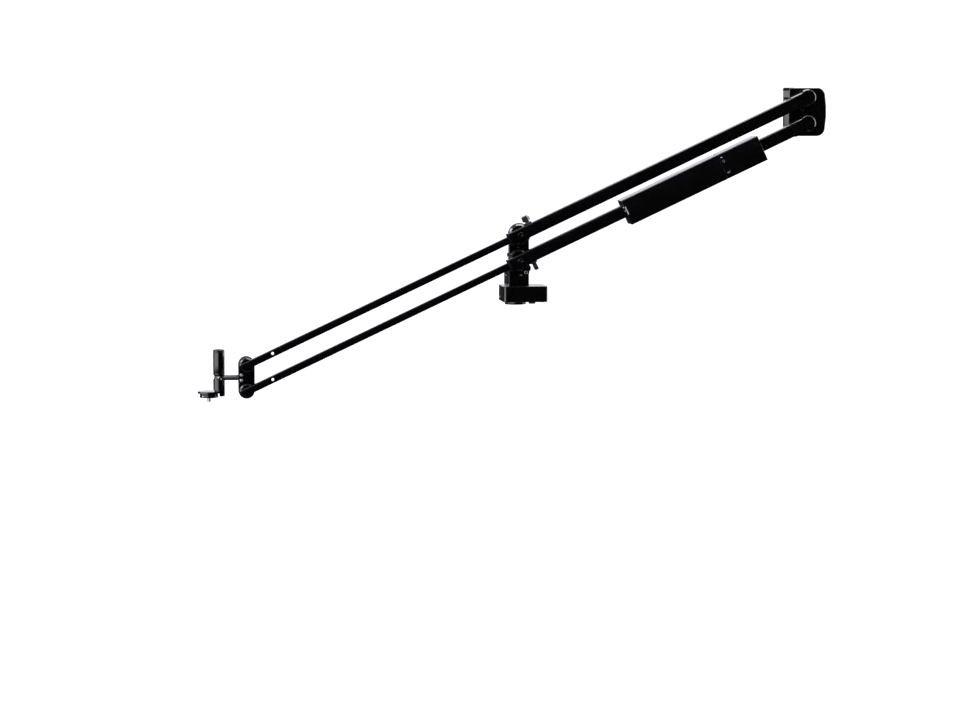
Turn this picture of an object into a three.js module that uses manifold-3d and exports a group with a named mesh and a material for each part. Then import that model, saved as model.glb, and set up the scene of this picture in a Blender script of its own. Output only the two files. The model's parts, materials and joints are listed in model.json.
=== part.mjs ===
// Camera jib crane: a telescoping parallelogram arm on a pan base, with a counterweight behind
// and a camera mount in front. Millimetres. The origin is on the pan axis at the underside of the
// tripod mount disc. +Z is up, +X points to the counterweight end, and the arms lie on the -Y side.
import * as THREE from "three";
import { mergeVertices } from "three/addons/utils/BufferGeometryUtils.js";
import Module from "manifold-3d";

const wasm = await Module();
wasm.setup();

// Fits
const clearance = 0.3; // gap between any two pieces that touch or run on each other
const overrun = 2; // how far a cut runs past the face it leaves by

// Linkage: pivot heights, reaches along the arm and the tilt as shown
const pivotOffset = 3; // column pivots behind the pan axis
const lowerPivotHeight = 106.5;
const pivotSpacing = 61;
const rearReach = 756.5; // column pivot to rear pivot
const frontReach = 709.5; // column pivot to front pivot, arm fully run out
const tiltDegrees = 25.1; // rear end raised
const armOffset = 61; // middle plane of both arms in front of the pan axis
const linkFaceOffset = 41.5; // front faces of column plate, front link and rear link

// Tripod mount disc and pan spindle
const discRadius = 25;
const discHeight = 7;
const spindleRadius = 13;
const spindleTop = 28;
const retainerRadius = 18;
const retainerHeight = 4;
const screwSocketRadius = 4.76; // 3/8 inch tripod screw
const socketDepth = 16;
const insertRadius = 8;

// Pan base
const baseFront = 34; // reach of the base ahead of the pan axis
const baseRear = 71; // reach of the base behind the pan axis
const baseHalfDepth = 47.5;
const baseTop = 45;
const baseWall = 3;
const baseCorner = 6;
const coverHeight = 3.5;
const bearingRadius = 19.5;
const bearingHeight = 9;
const collarWall = 3.5;

// Pan lock wheel under the base
const panWheelStation = 40;
const panWheelRadius = 8;
const panWheelHeight = 3.4;
const panWheelGrip = 0.5; // depth of the grip flutes
const panScrewRadius = 3;
const panScrewReach = 12;

// Column: a plate that carries both pivots, and a block behind its foot
const plateWidth = 48;
const plateThickness = 14;
const plateEdge = 1;
const blockDrop = 20.5; // top of the block below the lower pivot
const blockDepth = 74;
const blockCorner = 2;
const pinchScrewRadius = 4.6;
const pinchScrewHead = 3;
const pinchScrewShank = 8;
const pinchScrewRise = 13; // above the lower pivot

// Column pivots
const hubRadius = 27;
const hubStep = 2; // flat rim outside the bevel
const hubBevel = 4;
const axleRadius = 8;
const axleBearingWall = 3;
const bearingFlange = 2;
const axleNutRadius = 14;
const axleNutHeight = 9;

// Tilt lock: a shoe that grips the lower hub, drawn by a screw from a knob behind the block
const shoeScrewX = 16;
const shoeScrewDrop = 28.3; // below the lower pivot
const shoeLobeX = 18;
const shoeLobeDrop = 18.5;
const shoeLobeRadius = 9.5;
const shoeEndRadius = 7.6;
const tiltScrewRadius = 3;
const tiltHeadRadius = 4.4;
const tiltHeadHeight = 3;
const hexSocketRadius = 2.4;
const hexSides = 6;
const tiltKnobRadius = 13;
const tiltKnobLobe = 1.6;
const tiltKnobHeight = 15;

// Rear tubes, the thick ones
const rearTubeHeight = 30;
const rearTubeWidth = 24;
const rearTubeWall = 2;
const rearTubeCorner = 3.5;
const rearTubeFront = 26.5; // how far it reaches ahead of the column pivot

// Front tubes, which run inside the rear tubes
const frontTubeHeight = 17;
const frontTubeWidth = 14;
const frontTubeWall = 1.6;
const frontTubeCorner = 2;
const frontTubeOverlap = 80; // length behind the column pivot, arm fully run out
const glideLength = 22;

// Guide bush in the mouth of each rear tube
const bushLength = 66;
const bushFlange = 3;

// Front ends, the machined tips of the front tubes
const noseReach = 12; // ahead of the front pivot
const frontEndLength = 100;
const tubePlugLength = 22;
const lockHoleSetback = 66;
const lockHoleRadius = 3.5;
const frontPinRadius = 4.5;
const frontPinDepth = 10.5;

// Clamp keys that hold the front tubes
const keyStation = 27.5; // behind the column pivot
const keyStemRadius = 3.5;
const keyCollarRadius = 9.5;
const keyCollarHeight = 3.5;
const keyNeckRadius = 5;
const keyNeckHeight = 3;
const keyBladeWidth = 18.5;
const keyBladeHeight = 14;
const keyBladeThickness = 9;
const keyBladeCorner = 4;
const upperKeyTurnDegrees = 35;
const lowerKeyTurnDegrees = 90;

// Rear eyes on the rear tubes
const eyeRadius = 19.5;
const eyeSleeveHeight = 34;
const eyeSleeveReach = 38.6; // from the shoulder to the pivot
const eyeBevel = 3;
const eyePlugLength = 30;
const rearPinRadius = 6;
const rearPinDepth = 19;

// Rear link housing
const housingFront = 39; // ahead of the rear pivots
const housingRear = 52; // behind the rear pivots, at the middle of the bulge
const housingBulge = 3;
const housingHeight = 114.5;
const housingDrop = 3.7; // its middle lies this much below the middle of the pivots
const housingDepth = 66;
const housingWall = 4;
const housingRearCorner = 20;
const housingFrontCorner = 4;
const housingEdge = 1.5;
const housingCoverThickness = 3;
const housingCoverInset = 1;
const bossRadius = 13;
const bossLength = 22;
const rearShankRadius = 7;
const rearShankLength = 20;
const rearFlangeRadius = 14;

// Front link plate
const linkWidth = 38;
const linkThickness = 20;
const linkEdge = 1.2;
const frontFlangeRadius = 17.5;
const frontFlangeBevel = 3;
const frontShankRadius = 6;
const frontShankLength = 17;
const linkEyeletX = 12.6;
const linkEyeletRise = 17.8;
const linkEyeletRadius = 1.9;
const clampScrewX = 12.1; // ahead of the front pivots
const clampScrewSpacing = 12.6;
const clampHeadRadius = 4.4;
const clampHeadHeight = 2.6;
const clampHeadProud = 1;
const clampShankRadius = 2;
const clampShankLength = 2;

// Rod and handle
const rodRadius = 6.35;
const rodInLink = 17; // length of rod held inside the link plate
const handleReach = 64.2; // front pivots to the handle axis
const rodPastHandle = 8; // length of rod past the handle axis
const gripRadius = 13.5;
const waistRadius = 9; // at the bottom of the groove round the handle
const waistRise = 1.9; // bottom of the groove above the rod axis
const waistTop = 7.2;
const waistBottom = 4;
const handleRise = 67.8;
const handleDrop = 43.2;
const gripBoreRadius = 8;
const gripEdge = 1;
const capHeight = 4.5;
const capEdgeHeight = 1.5;
const capInnerRadius = 10;
const capDome = 1.1; // rise of the dome inside that radius
const spigotTop = 52;
const gripScrewRadius = 3.6;
const gripScrewHead = 2.4;
const gripScrewShank = 2.2;
const gripScrewRecess = 4.4;

// Camera mount under the handle
const flangeRadius = 26.5;
const flangeSetback = 23.5; // centre of the flange ahead of the handle axis
const flangeTopDrop = 31.3; // below the rod axis
const flangeThickness = 4.7;
const collarRadius = 11;
const collarHeight = 3;
const legStart = 1.3; // the handle's leg begins this far behind the handle axis
const ringRadius = 21.7;
const ringHeight = 10;
const ringEdge = 1;
const ringGroove = 1; // depth of the groove round the ring
const ringGrooveTop = 3.5; // below the top of the ring
const ringGrooveWidth = 1;
const ringSpindleRadius = 9;
const ringSpindleHeight = 3;
const studRadius = 4.7;
const studReach = 10;
const studInRing = 8;

// Counterweight on the lower rear tube
const weightSetback = 126; // rear end of the box ahead of the rear pivots
const weightLength = 358;
const weightHeight = 62;
const weightDepth = 60;
const weightDrop = 3.8; // below the tube's middle
const weightWall = 2.5;
const weightCorner = 2;
const weightSeamShare = 0.705; // place of the seam between the modules
const endPlateThickness = 5;
const slabTubeGap = 1;
const weightScrewRadius = 3;
const weightScrewShare = 0.5; // place of the lock screw along the front module
const weightKnobRadius = 11;
const weightKnobLobe = 1.2;
const weightKnobHeight = 12;

// Roundness of turned pieces and corners
const roundSides = 24;
const smallSides = 16;
const cornerSteps = 2;
const knobLobes = 5;
const stepsPerLobe = 6;
const wheelFlutes = 16;

// Materials
const blackAnodised = new THREE.MeshStandardMaterial({
  color: 0x16161a,
  roughness: 0.45,
  metalness: 0.7,
});
const blackPlastic = new THREE.MeshStandardMaterial({
  color: 0x121214,
  roughness: 0.6,
  metalness: 0,
});
const satinSteel = new THREE.MeshStandardMaterial({
  color: 0x9a9aa0,
  roughness: 0.35,
  metalness: 1,
});
const bronze = new THREE.MeshStandardMaterial({
  color: 0x8c6a3a,
  roughness: 0.45,
  metalness: 1,
});
const bareSteel = new THREE.MeshStandardMaterial({
  color: 0x4c4d50,
  roughness: 0.6,
  metalness: 1,
});

// Solids from three.js geometry

function solidOf(geometry) {
  const bare = geometry.index ? geometry.toNonIndexed() : geometry.clone();
  bare.deleteAttribute("normal");
  bare.deleteAttribute("uv");
  const merged = mergeVertices(bare);
  const kept = [];
  const index = merged.index.array;
  for (let i = 0; i < index.length; i += 3) {
    const [a, b, c] = [index[i], index[i + 1], index[i + 2]];
    if (a !== b && b !== c && c !== a) kept.push(a, b, c);
  }
  return new wasm.Manifold(
    new wasm.Mesh({
      numProp: 3,
      vertProperties: merged.attributes.position.array,
      triVerts: new Uint32Array(kept),
    }),
  );
}

function geometryOf(solid) {
  const mesh = solid.getMesh();
  const geometry = new THREE.BufferGeometry();
  const corners = new THREE.BufferAttribute(mesh.vertProperties, 3);
  geometry.setAttribute("position", corners);
  geometry.setIndex(new THREE.BufferAttribute(mesh.triVerts, 1));
  const flat = geometry.toNonIndexed();
  flat.computeVertexNormals();
  return flat;
}

// A turned solid. Each point is [radius, height]; the profile runs upwards outside the axis.
function turned(points, axis, sides = roundSides) {
  const profile = points.map(([radius, height]) => new THREE.Vector2(radius, height));
  const geometry = new THREE.LatheGeometry(profile, sides);
  if (axis === "z") geometry.rotateX(Math.PI / 2);
  if (axis === "x") geometry.rotateZ(-Math.PI / 2);
  return solidOf(geometry);
}

// A plain round bar between two heights on an axis through (u, v). The two other coordinates are
// given in the order x, y, z.
function bar(radius, from, to, axis, u = 0, v = 0, sides = roundSides) {
  const profile = [
    [0, from],
    [radius, from],
    [radius, to],
    [0, to],
  ];
  const made = turned(profile, axis, sides);
  if (axis === "x") return made.translate([0, u, v]);
  if (axis === "y") return made.translate([u, 0, v]);
  return made.translate([u, v, 0]);
}

// The same bar with the coarser sides of small and hidden pieces.
function thinBar(radius, from, to, axis, u = 0, v = 0) {
  return bar(radius, from, to, axis, u, v, smallSides);
}

function roundedRectangle(width, height, corner) {
  const w = width / 2;
  const h = height / 2;
  const shape = new THREE.Shape();
  shape.moveTo(w, corner - h);
  shape.lineTo(w, h - corner);
  shape.absarc(w - corner, h - corner, corner, 0, Math.PI / 2);
  shape.absarc(corner - w, h - corner, corner, Math.PI / 2, Math.PI);
  shape.absarc(corner - w, corner - h, corner, Math.PI, 1.5 * Math.PI);
  shape.absarc(w - corner, corner - h, corner, 1.5 * Math.PI, 2 * Math.PI);
  return shape;
}

// An extruded outline, with its edges bevelled inside the outline where a bevel is given.
function extruded(shape, depth, bevel = 0, curveSegments = cornerSteps) {
  return new THREE.ExtrudeGeometry(shape, {
    depth: depth - 2 * bevel,
    curveSegments,
    bevelEnabled: bevel > 0,
    bevelSize: bevel,
    bevelThickness: bevel,
    bevelOffset: -bevel,
    bevelSegments: 1,
  }).translate(0, 0, bevel);
}

// The outline lies in the X-Z plane and the solid runs from one Y to the other.
function acrossY(shape, from, to, bevel, curveSegments) {
  const geometry = extruded(shape, to - from, bevel, curveSegments);
  geometry.rotateX(Math.PI / 2);
  geometry.translate(0, to, 0);
  return solidOf(geometry);
}

// The outline's x and y become Y and Z, and the solid runs from one X to the other.
function alongX(shape, from, to, bevel, curveSegments) {
  const geometry = extruded(shape, to - from, bevel, curveSegments);
  const turn = new THREE.Matrix4().makeBasis(
    new THREE.Vector3(0, 1, 0),
    new THREE.Vector3(0, 0, 1),
    new THREE.Vector3(1, 0, 0),
  );
  geometry.applyMatrix4(turn);
  geometry.translate(from, 0, 0);
  return solidOf(geometry);
}

function upZ(shape, from, to, bevel, curveSegments) {
  const geometry = extruded(shape, to - from, bevel, curveSegments);
  geometry.translate(0, 0, from);
  return solidOf(geometry);
}

function block(x0, x1, y0, y1, z0, z1) {
  const geometry = new THREE.BoxGeometry(x1 - x0, y1 - y0, z1 - z0);
  geometry.translate((x0 + x1) / 2, (y0 + y1) / 2, (z0 + z1) / 2);
  return solidOf(geometry);
}

// A hand knob's outline: a circle with shallow lobes.
function lobedOutline(radius, lobe, lobes, steps) {
  const shape = new THREE.Shape();
  const count = lobes * steps;
  for (let i = 0; i < count; i++) {
    const angle = (i / count) * 2 * Math.PI;
    const reach = radius - lobe + lobe * Math.cos(lobes * angle);
    const [x, y] = [reach * Math.cos(angle), reach * Math.sin(angle)];
    if (i === 0) shape.moveTo(x, y);
    else shape.lineTo(x, y);
  }
  return shape;
}

const crane = new THREE.Group();
crane.name = "camera_jib_crane";

function add(parent, name, solid, material) {
  const mesh = new THREE.Mesh(geometryOf(solid), material);
  mesh.name = name;
  parent.add(mesh);
  return mesh;
}

function groupAt(parent, x, y, z, pitch = 0) {
  const group = new THREE.Group();
  group.position.set(x, y, z);
  group.rotation.y = pitch;
  parent.add(group);
  return group;
}

// Tripod mount: disc, pan spindle and the screw insert

function makeTripodMount() {
  const seat = insertRadius + clearance;
  const disc = turned(
    [
      [seat, 0],
      [discRadius, 0],
      [discRadius, discHeight],
      [spindleRadius, discHeight],
      [spindleRadius, spindleTop],
      [seat, spindleTop],
      [seat, 0],
    ],
    "z",
  );
  add(crane, "tripod_mount_disc", disc, blackAnodised);
  const insertHeight = socketDepth + retainerHeight;
  const insert = turned(
    [
      [screwSocketRadius, 0],
      [insertRadius, 0],
      [insertRadius, insertHeight],
      [0, insertHeight],
      [0, socketDepth],
      [screwSocketRadius, socketDepth],
      [screwSocketRadius, 0],
    ],
    "z",
    smallSides,
  );
  add(crane, "screw_insert", insert, satinSteel);
  const retainerFoot = spindleTop + clearance;
  const plugFoot = insertHeight + clearance;
  const retainer = turned(
    [
      [0, plugFoot],
      [insertRadius, plugFoot],
      [insertRadius, retainerFoot],
      [retainerRadius, retainerFoot],
      [retainerRadius, retainerFoot + retainerHeight],
      [0, retainerFoot + retainerHeight],
    ],
    "z",
    smallSides,
  );
  add(crane, "pan_retainer", retainer, satinSteel);
}

// Pan base: housing, cover with its bearing collar, bearing and lock wheel

const baseFoot = discHeight + clearance;
const baseLength = baseFront + baseRear;
const baseMiddle = (baseRear - baseFront) / 2;

function baseOutline(inset) {
  const width = baseLength - 2 * inset;
  const depth = 2 * (baseHalfDepth - inset);
  return roundedRectangle(width, depth, Math.max(baseCorner - inset, clearance));
}

function makeBase() {
  const hollow = upZ(baseOutline(baseWall), baseFoot - overrun, baseTop - baseWall);
  const shell = upZ(baseOutline(0), baseFoot, baseTop, plateEdge).subtract(hollow);
  add(crane, "base_housing", shell.translate([baseMiddle, 0, 0]), blackAnodised);

  const inset = baseWall + clearance;
  const plate = upZ(baseOutline(inset), baseFoot, baseFoot + coverHeight).translate([baseMiddle, 0, 0]);
  const pocket = bearingRadius + clearance;
  const bearingFoot = baseFoot + coverHeight;
  const collarTop = bearingFoot + bearingHeight;
  const collar = bar(pocket + collarWall, baseFoot, collarTop, "z");
  const lockBoss = bar(panScrewRadius + collarWall, baseFoot, collarTop, "z", panWheelStation);
  const cover = plate
    .add(collar)
    .add(lockBoss)
    .subtract(bar(pocket, bearingFoot, collarTop + overrun, "z"))
    .subtract(bar(spindleRadius + clearance, baseFoot - overrun, collarTop, "z"))
    .subtract(
      thinBar(panScrewRadius + clearance, baseFoot - overrun, collarTop + overrun, "z", panWheelStation, 0),
    );
  add(crane, "base_cover", cover, blackAnodised);

  const bore = spindleRadius + clearance;
  const bearingBottom = bearingFoot + clearance;
  const bearingTop = spindleTop;
  const bearing = turned(
    [
      [bore, bearingBottom],
      [bearingRadius, bearingBottom],
      [bearingRadius, bearingBottom + bearingHeight],
      [retainerRadius, bearingTop],
      [bore, bearingTop],
      [bore, bearingBottom],
    ],
    "z",
    smallSides,
  );
  add(crane, "pan_bearing", bearing, bronze);
}

function makePanWheel() {
  const top = discHeight;
  const outline = lobedOutline(panWheelRadius, panWheelGrip, wheelFlutes, cornerSteps);
  const wheel = upZ(outline, top - panWheelHeight, top)
    .add(thinBar(panScrewRadius, top - panWheelHeight / 2, top + panScrewReach, "z", 0, 0))
    .translate([panWheelStation, 0, 0]);
  add(crane, "pan_lock_wheel", wheel, blackPlastic);
}

// Column

const plateFoot = baseTop + clearance;
const plateBack = plateThickness - linkFaceOffset;
const upperPivotHeight = lowerPivotHeight + pivotSpacing;
const axleBearingRadius = axleRadius + clearance + axleBearingWall;
const blockTop = lowerPivotHeight - blockDrop;
const blockFront = plateBack + clearance;
const blockBack = blockFront + blockDepth;
const shoeScrewHeight = lowerPivotHeight - shoeScrewDrop;
const pinchScrewHeight = lowerPivotHeight + pinchScrewRise;

function makeColumn(column) {
  const half = plateWidth / 2;
  const outline = new THREE.Shape();
  outline.moveTo(-half, plateFoot);
  outline.lineTo(half, plateFoot);
  outline.lineTo(half, upperPivotHeight);
  outline.absarc(0, upperPivotHeight, half, 0, Math.PI);
  outline.closePath();
  const front = -linkFaceOffset;
  const bore = axleBearingRadius + clearance;
  const screwBore = tiltScrewRadius + clearance;
  let plate = acrossY(outline, front, plateBack, plateEdge, roundSides / 4);
  for (const height of [lowerPivotHeight, upperPivotHeight])
    plate = plate.subtract(bar(bore, front - overrun, plateBack + overrun, "y", 0, height));
  plate = plate.subtract(
    thinBar(screwBore, front - overrun, plateBack + overrun, "y", shoeScrewX, shoeScrewHeight),
  );
  const pinchBore = pinchScrewRadius / 2 + clearance;
  const middle = (front + plateBack) / 2;
  const pinchEnd = pinchScrewShank + clearance - half;
  plate = plate.subtract(thinBar(pinchBore, -half - overrun, pinchEnd, "x", middle, pinchScrewHeight));
  add(column, "column_plate", plate, blackAnodised);

  const footprint = roundedRectangle(plateWidth, blockDepth, blockCorner);
  const foot = upZ(footprint, plateFoot, blockTop, plateEdge)
    .translate([0, (blockFront + blockBack) / 2, 0])
    .subtract(thinBar(screwBore, -baseHalfDepth, blockBack + overrun, "y", shoeScrewX, shoeScrewHeight));
  add(column, "column_block", foot, blackAnodised);

  const headFrom = -half - clearance - pinchScrewHead;
  const pinch = thinBar(pinchScrewRadius, headFrom, -half - clearance, "x", middle, pinchScrewHeight).add(
    thinBar(pinchScrewRadius / 2, headFrom + plateEdge, pinchEnd - clearance, "x", middle, pinchScrewHeight),
  );
  add(column, "pivot_pinch_screw", pinch, blackAnodised);
}

// Column pivots: a bearing in the plate, a hub on each arm and the nut that keeps it

const hubFront = clearance - (armOffset - rearTubeWidth / 2);
const hubBack = -linkFaceOffset - clearance;

function makeAxleBearing(name, column, height) {
  const bore = axleRadius + clearance;
  const flangeEdge = axleBearingRadius + bearingFlange;
  const back = plateBack + clearance;
  const ring = turned(
    [
      [bore, -linkFaceOffset],
      [axleBearingRadius, -linkFaceOffset],
      [axleBearingRadius, back],
      [flangeEdge, back],
      [flangeEdge, back + bearingFlange],
      [bore, back + bearingFlange],
      [bore, -linkFaceOffset],
    ],
    "y",
    smallSides,
  );
  add(column, name, ring.translate([0, 0, height]), bronze);
}

function makePivotHub(name, parent) {
  const nutFoot = plateBack + clearance + bearingFlange + clearance;
  const tip = nutFoot + axleNutHeight - 2 * clearance;
  const hub = turned(
    [
      [0, hubFront],
      [hubRadius - hubStep - hubBevel, hubFront],
      [hubRadius - hubStep, hubFront + hubBevel],
      [hubRadius, hubFront + hubBevel],
      [hubRadius, hubBack],
      [axleRadius, hubBack],
      [axleRadius, tip],
      [0, tip],
    ],
    "y",
  );
  add(parent, name, hub.translate([0, armOffset, 0]), blackAnodised);
  return { nutFoot, tip };
}

function makeAxleNut(name, parent, nutFoot, tip) {
  const cap = nutFoot + axleNutHeight + clearance;
  const bore = axleRadius + clearance;
  const nut = turned(
    [
      [bore, nutFoot],
      [axleNutRadius, nutFoot],
      [axleNutRadius, cap - plateEdge],
      [axleNutRadius - plateEdge, cap],
      [0, cap],
      [0, tip + clearance],
      [bore, tip + clearance],
      [bore, nutFoot],
    ],
    "y",
  );
  add(parent, name, nut.translate([0, armOffset, 0]), blackAnodised);
}

// Tilt lock: the shoe is cut to the hub's radius, so it closes on the rim. The screw's head is sunk
// in the shoe, because the lower arm sweeps past in front of it.

function makeTiltLock(column) {
  const [x, z] = [shoeScrewX, shoeScrewHeight];
  const headBack = hubFront + tiltHeadHeight;
  const socketEnd = hubFront + tiltHeadHeight / 2;
  const sink = tiltHeadRadius + clearance;
  const shoe = bar(shoeLobeRadius, hubFront, hubBack, "y", shoeLobeX, lowerPivotHeight - shoeLobeDrop)
    .add(bar(shoeEndRadius, hubFront, hubBack, "y", x, z))
    .subtract(bar(hubRadius + clearance, hubFront - overrun, hubBack + overrun, "y", 0, lowerPivotHeight))
    .subtract(thinBar(sink, hubFront - overrun, headBack + clearance, "y", x, z))
    .subtract(thinBar(tiltScrewRadius + clearance, hubFront - overrun, hubBack + overrun, "y", x, z));
  add(column, "brake_shoe", shoe, blackAnodised);

  const knobFoot = blockBack + clearance;
  const screw = thinBar(tiltHeadRadius, hubFront, headBack, "y", x, z)
    .add(thinBar(tiltScrewRadius, socketEnd, knobFoot + tiltKnobHeight / 2, "y", x, z))
    .subtract(bar(hexSocketRadius, hubFront - overrun, socketEnd, "y", x, z, hexSides));
  add(column, "tilt_lock_screw", screw, satinSteel);

  const outline = lobedOutline(tiltKnobRadius, tiltKnobLobe, knobLobes, stepsPerLobe);
  const seat = knobFoot + tiltKnobHeight / 2 + clearance;
  const knob = acrossY(outline, knobFoot, knobFoot + tiltKnobHeight, plateEdge)
    .translate([x, 0, z])
    .subtract(thinBar(tiltScrewRadius + clearance, knobFoot - overrun, seat, "y", x, z));
  add(column, "tilt_lock_knob", knob, blackPlastic);
}

// Rear tube with its bush and rear eye. Local X runs along the arm to the rear from the pivot.

const tubeInnerHeight = rearTubeHeight - 2 * rearTubeWall;
const tubeInnerWidth = rearTubeWidth - 2 * rearTubeWall;
const tubeInnerCorner = rearTubeCorner - rearTubeWall;
const eyeShoulder = rearReach - eyeSleeveReach;

function rearTubeBore(shrink) {
  return roundedRectangle(tubeInnerWidth - 2 * shrink, tubeInnerHeight - 2 * shrink, tubeInnerCorner);
}

function frontTubeSection(grow) {
  return roundedRectangle(frontTubeWidth + 2 * grow, frontTubeHeight + 2 * grow, frontTubeCorner);
}

function frontTubeBore(shrink) {
  const width = frontTubeWidth - 2 * (frontTubeWall + shrink);
  const height = frontTubeHeight - 2 * (frontTubeWall + shrink);
  return roundedRectangle(width, height, frontTubeCorner / 2);
}

// The key's hole goes through the top or the bottom wall, as the side says.
function keyHole(side) {
  const [from, to] = side > 0 ? [0, rearTubeHeight] : [-rearTubeHeight, 0];
  return thinBar(keyStemRadius + clearance, from, to, "z", keyStation, 0);
}

function makeRearTube(prefix, parent, side) {
  const section = roundedRectangle(rearTubeWidth, rearTubeHeight, rearTubeCorner);
  const end = eyeShoulder - clearance;
  const tube = alongX(section, -rearTubeFront, end)
    .subtract(alongX(rearTubeBore(0), -rearTubeFront - overrun, end + overrun))
    .subtract(keyHole(side));
  add(parent, prefix + "_rear_tube", tube, blackAnodised);

  const mouth = -rearTubeFront - clearance;
  const bush = alongX(section, mouth - bushFlange, mouth)
    .add(alongX(rearTubeBore(clearance), mouth - bushFlange / 2, mouth - bushFlange + bushLength))
    .subtract(alongX(frontTubeSection(clearance), mouth - bushFlange - overrun, mouth + bushLength))
    .subtract(keyHole(side));
  add(parent, prefix + "_guide_bush", bush, blackPlastic);
}

function makeRearEye(prefix, parent) {
  const [shoulder, half] = [eyeShoulder, eyeSleeveHeight / 2];
  const blend = Math.asin(half / eyeRadius);
  const outline = new THREE.Shape();
  outline.moveTo(shoulder, half);
  outline.lineTo(shoulder, -half);
  outline.absarc(rearReach, 0, eyeRadius, -Math.PI + blend, Math.PI - blend);
  outline.closePath();
  const width = rearTubeWidth / 2;
  const pinFoot = width - rearPinDepth - clearance;
  const eye = acrossY(outline, -width, width, eyeBevel, roundSides / 4)
    .add(alongX(rearTubeBore(clearance), shoulder - eyePlugLength, shoulder + eyeBevel * 2))
    .subtract(thinBar(rearPinRadius + clearance, pinFoot, width + overrun, "y", rearReach, 0));
  add(parent, prefix + "_rear_eye", eye, blackAnodised);
}

// Clamp key: collar, neck and blade in one, with a stem down to the front tube

function makeClampKey(name, parent, side, turn) {
  const stemFoot = frontTubeHeight / 2 + clearance;
  const seat = rearTubeHeight / 2 + clearance;
  const collarTop = seat + keyCollarHeight;
  const neckTop = collarTop + keyNeckHeight;
  const body = turned(
    [
      [0, stemFoot],
      [keyStemRadius, stemFoot],
      [keyStemRadius, seat],
      [keyCollarRadius, seat],
      [keyCollarRadius, collarTop - plateEdge],
      [keyCollarRadius - plateEdge, collarTop],
      [keyNeckRadius, collarTop],
      [keyNeckRadius, neckTop + plateEdge],
      [0, neckTop + plateEdge],
    ],
    "z",
    smallSides,
  );
  const half = keyBladeThickness / 2;
  const bladeOutline = roundedRectangle(keyBladeWidth, keyBladeHeight, keyBladeCorner);
  const blade = acrossY(bladeOutline, -half, half, plateEdge);
  const key = body.add(blade.translate([0, 0, neckTop + keyBladeHeight / 2]));
  const mesh = add(parent, name, key, blackPlastic);
  mesh.position.x = keyStation;
  if (side < 0) mesh.rotation.x = Math.PI;
  mesh.rotation.z = side * turn;
}

// Front tube, its glide and its machined front end

function makeFrontTube(prefix, parent) {
  const nose = -frontReach - noseReach;
  const blockEnd = nose + frontEndLength;
  const tubeStart = blockEnd + clearance;
  const tube = alongX(frontTubeSection(0), tubeStart, frontTubeOverlap).subtract(
    alongX(frontTubeBore(0), tubeStart - overrun, frontTubeOverlap + overrun),
  );
  add(parent, prefix + "_front_tube", tube, blackAnodised);

  const glideStart = frontTubeOverlap + clearance;
  const glide = alongX(rearTubeBore(clearance), glideStart, glideStart + glideLength).add(
    alongX(frontTubeBore(clearance), glideStart - tubePlugLength, glideStart + glideLength / 2),
  );
  add(parent, prefix + "_glide", glide, blackPlastic);

  const half = frontTubeWidth / 2;
  const pinFoot = half - frontPinDepth - clearance;
  const tip = alongX(frontTubeSection(0), nose, blockEnd, plateEdge)
    .add(alongX(frontTubeBore(clearance), blockEnd - tubePlugLength, blockEnd + tubePlugLength))
    .subtract(thinBar(frontPinRadius + clearance, pinFoot, half + overrun, "y", -frontReach, 0))
    .subtract(
      thinBar(lockHoleRadius, -half - overrun, half + overrun, "y", lockHoleSetback - frontReach, 0),
    );
  add(parent, prefix + "_front_end", tip, blackAnodised);
}

// Front link: plate, two flanged pins, two clamp screws and the rod

const frontHalfWidth = frontTubeWidth / 2;
const pivotRises = { lower: -pivotSpacing / 2, upper: pivotSpacing / 2 };

function linkPin(x, z, reach, pin, flange, bevel, shank, shankLength) {
  const flangeFront = clearance - reach;
  const made = turned(
    [
      [0, flangeFront - clearance - pin.depth],
      [pin.radius, flangeFront - clearance - pin.depth],
      [pin.radius, flangeFront],
      [flange - bevel, flangeFront],
      [flange, flangeFront + bevel],
      [flange, hubBack],
      [shank, hubBack],
      [shank, shankLength - linkFaceOffset],
      [0, shankLength - linkFaceOffset],
    ],
    "y",
  );
  return made.translate([x, 0, z]);
}

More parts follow.
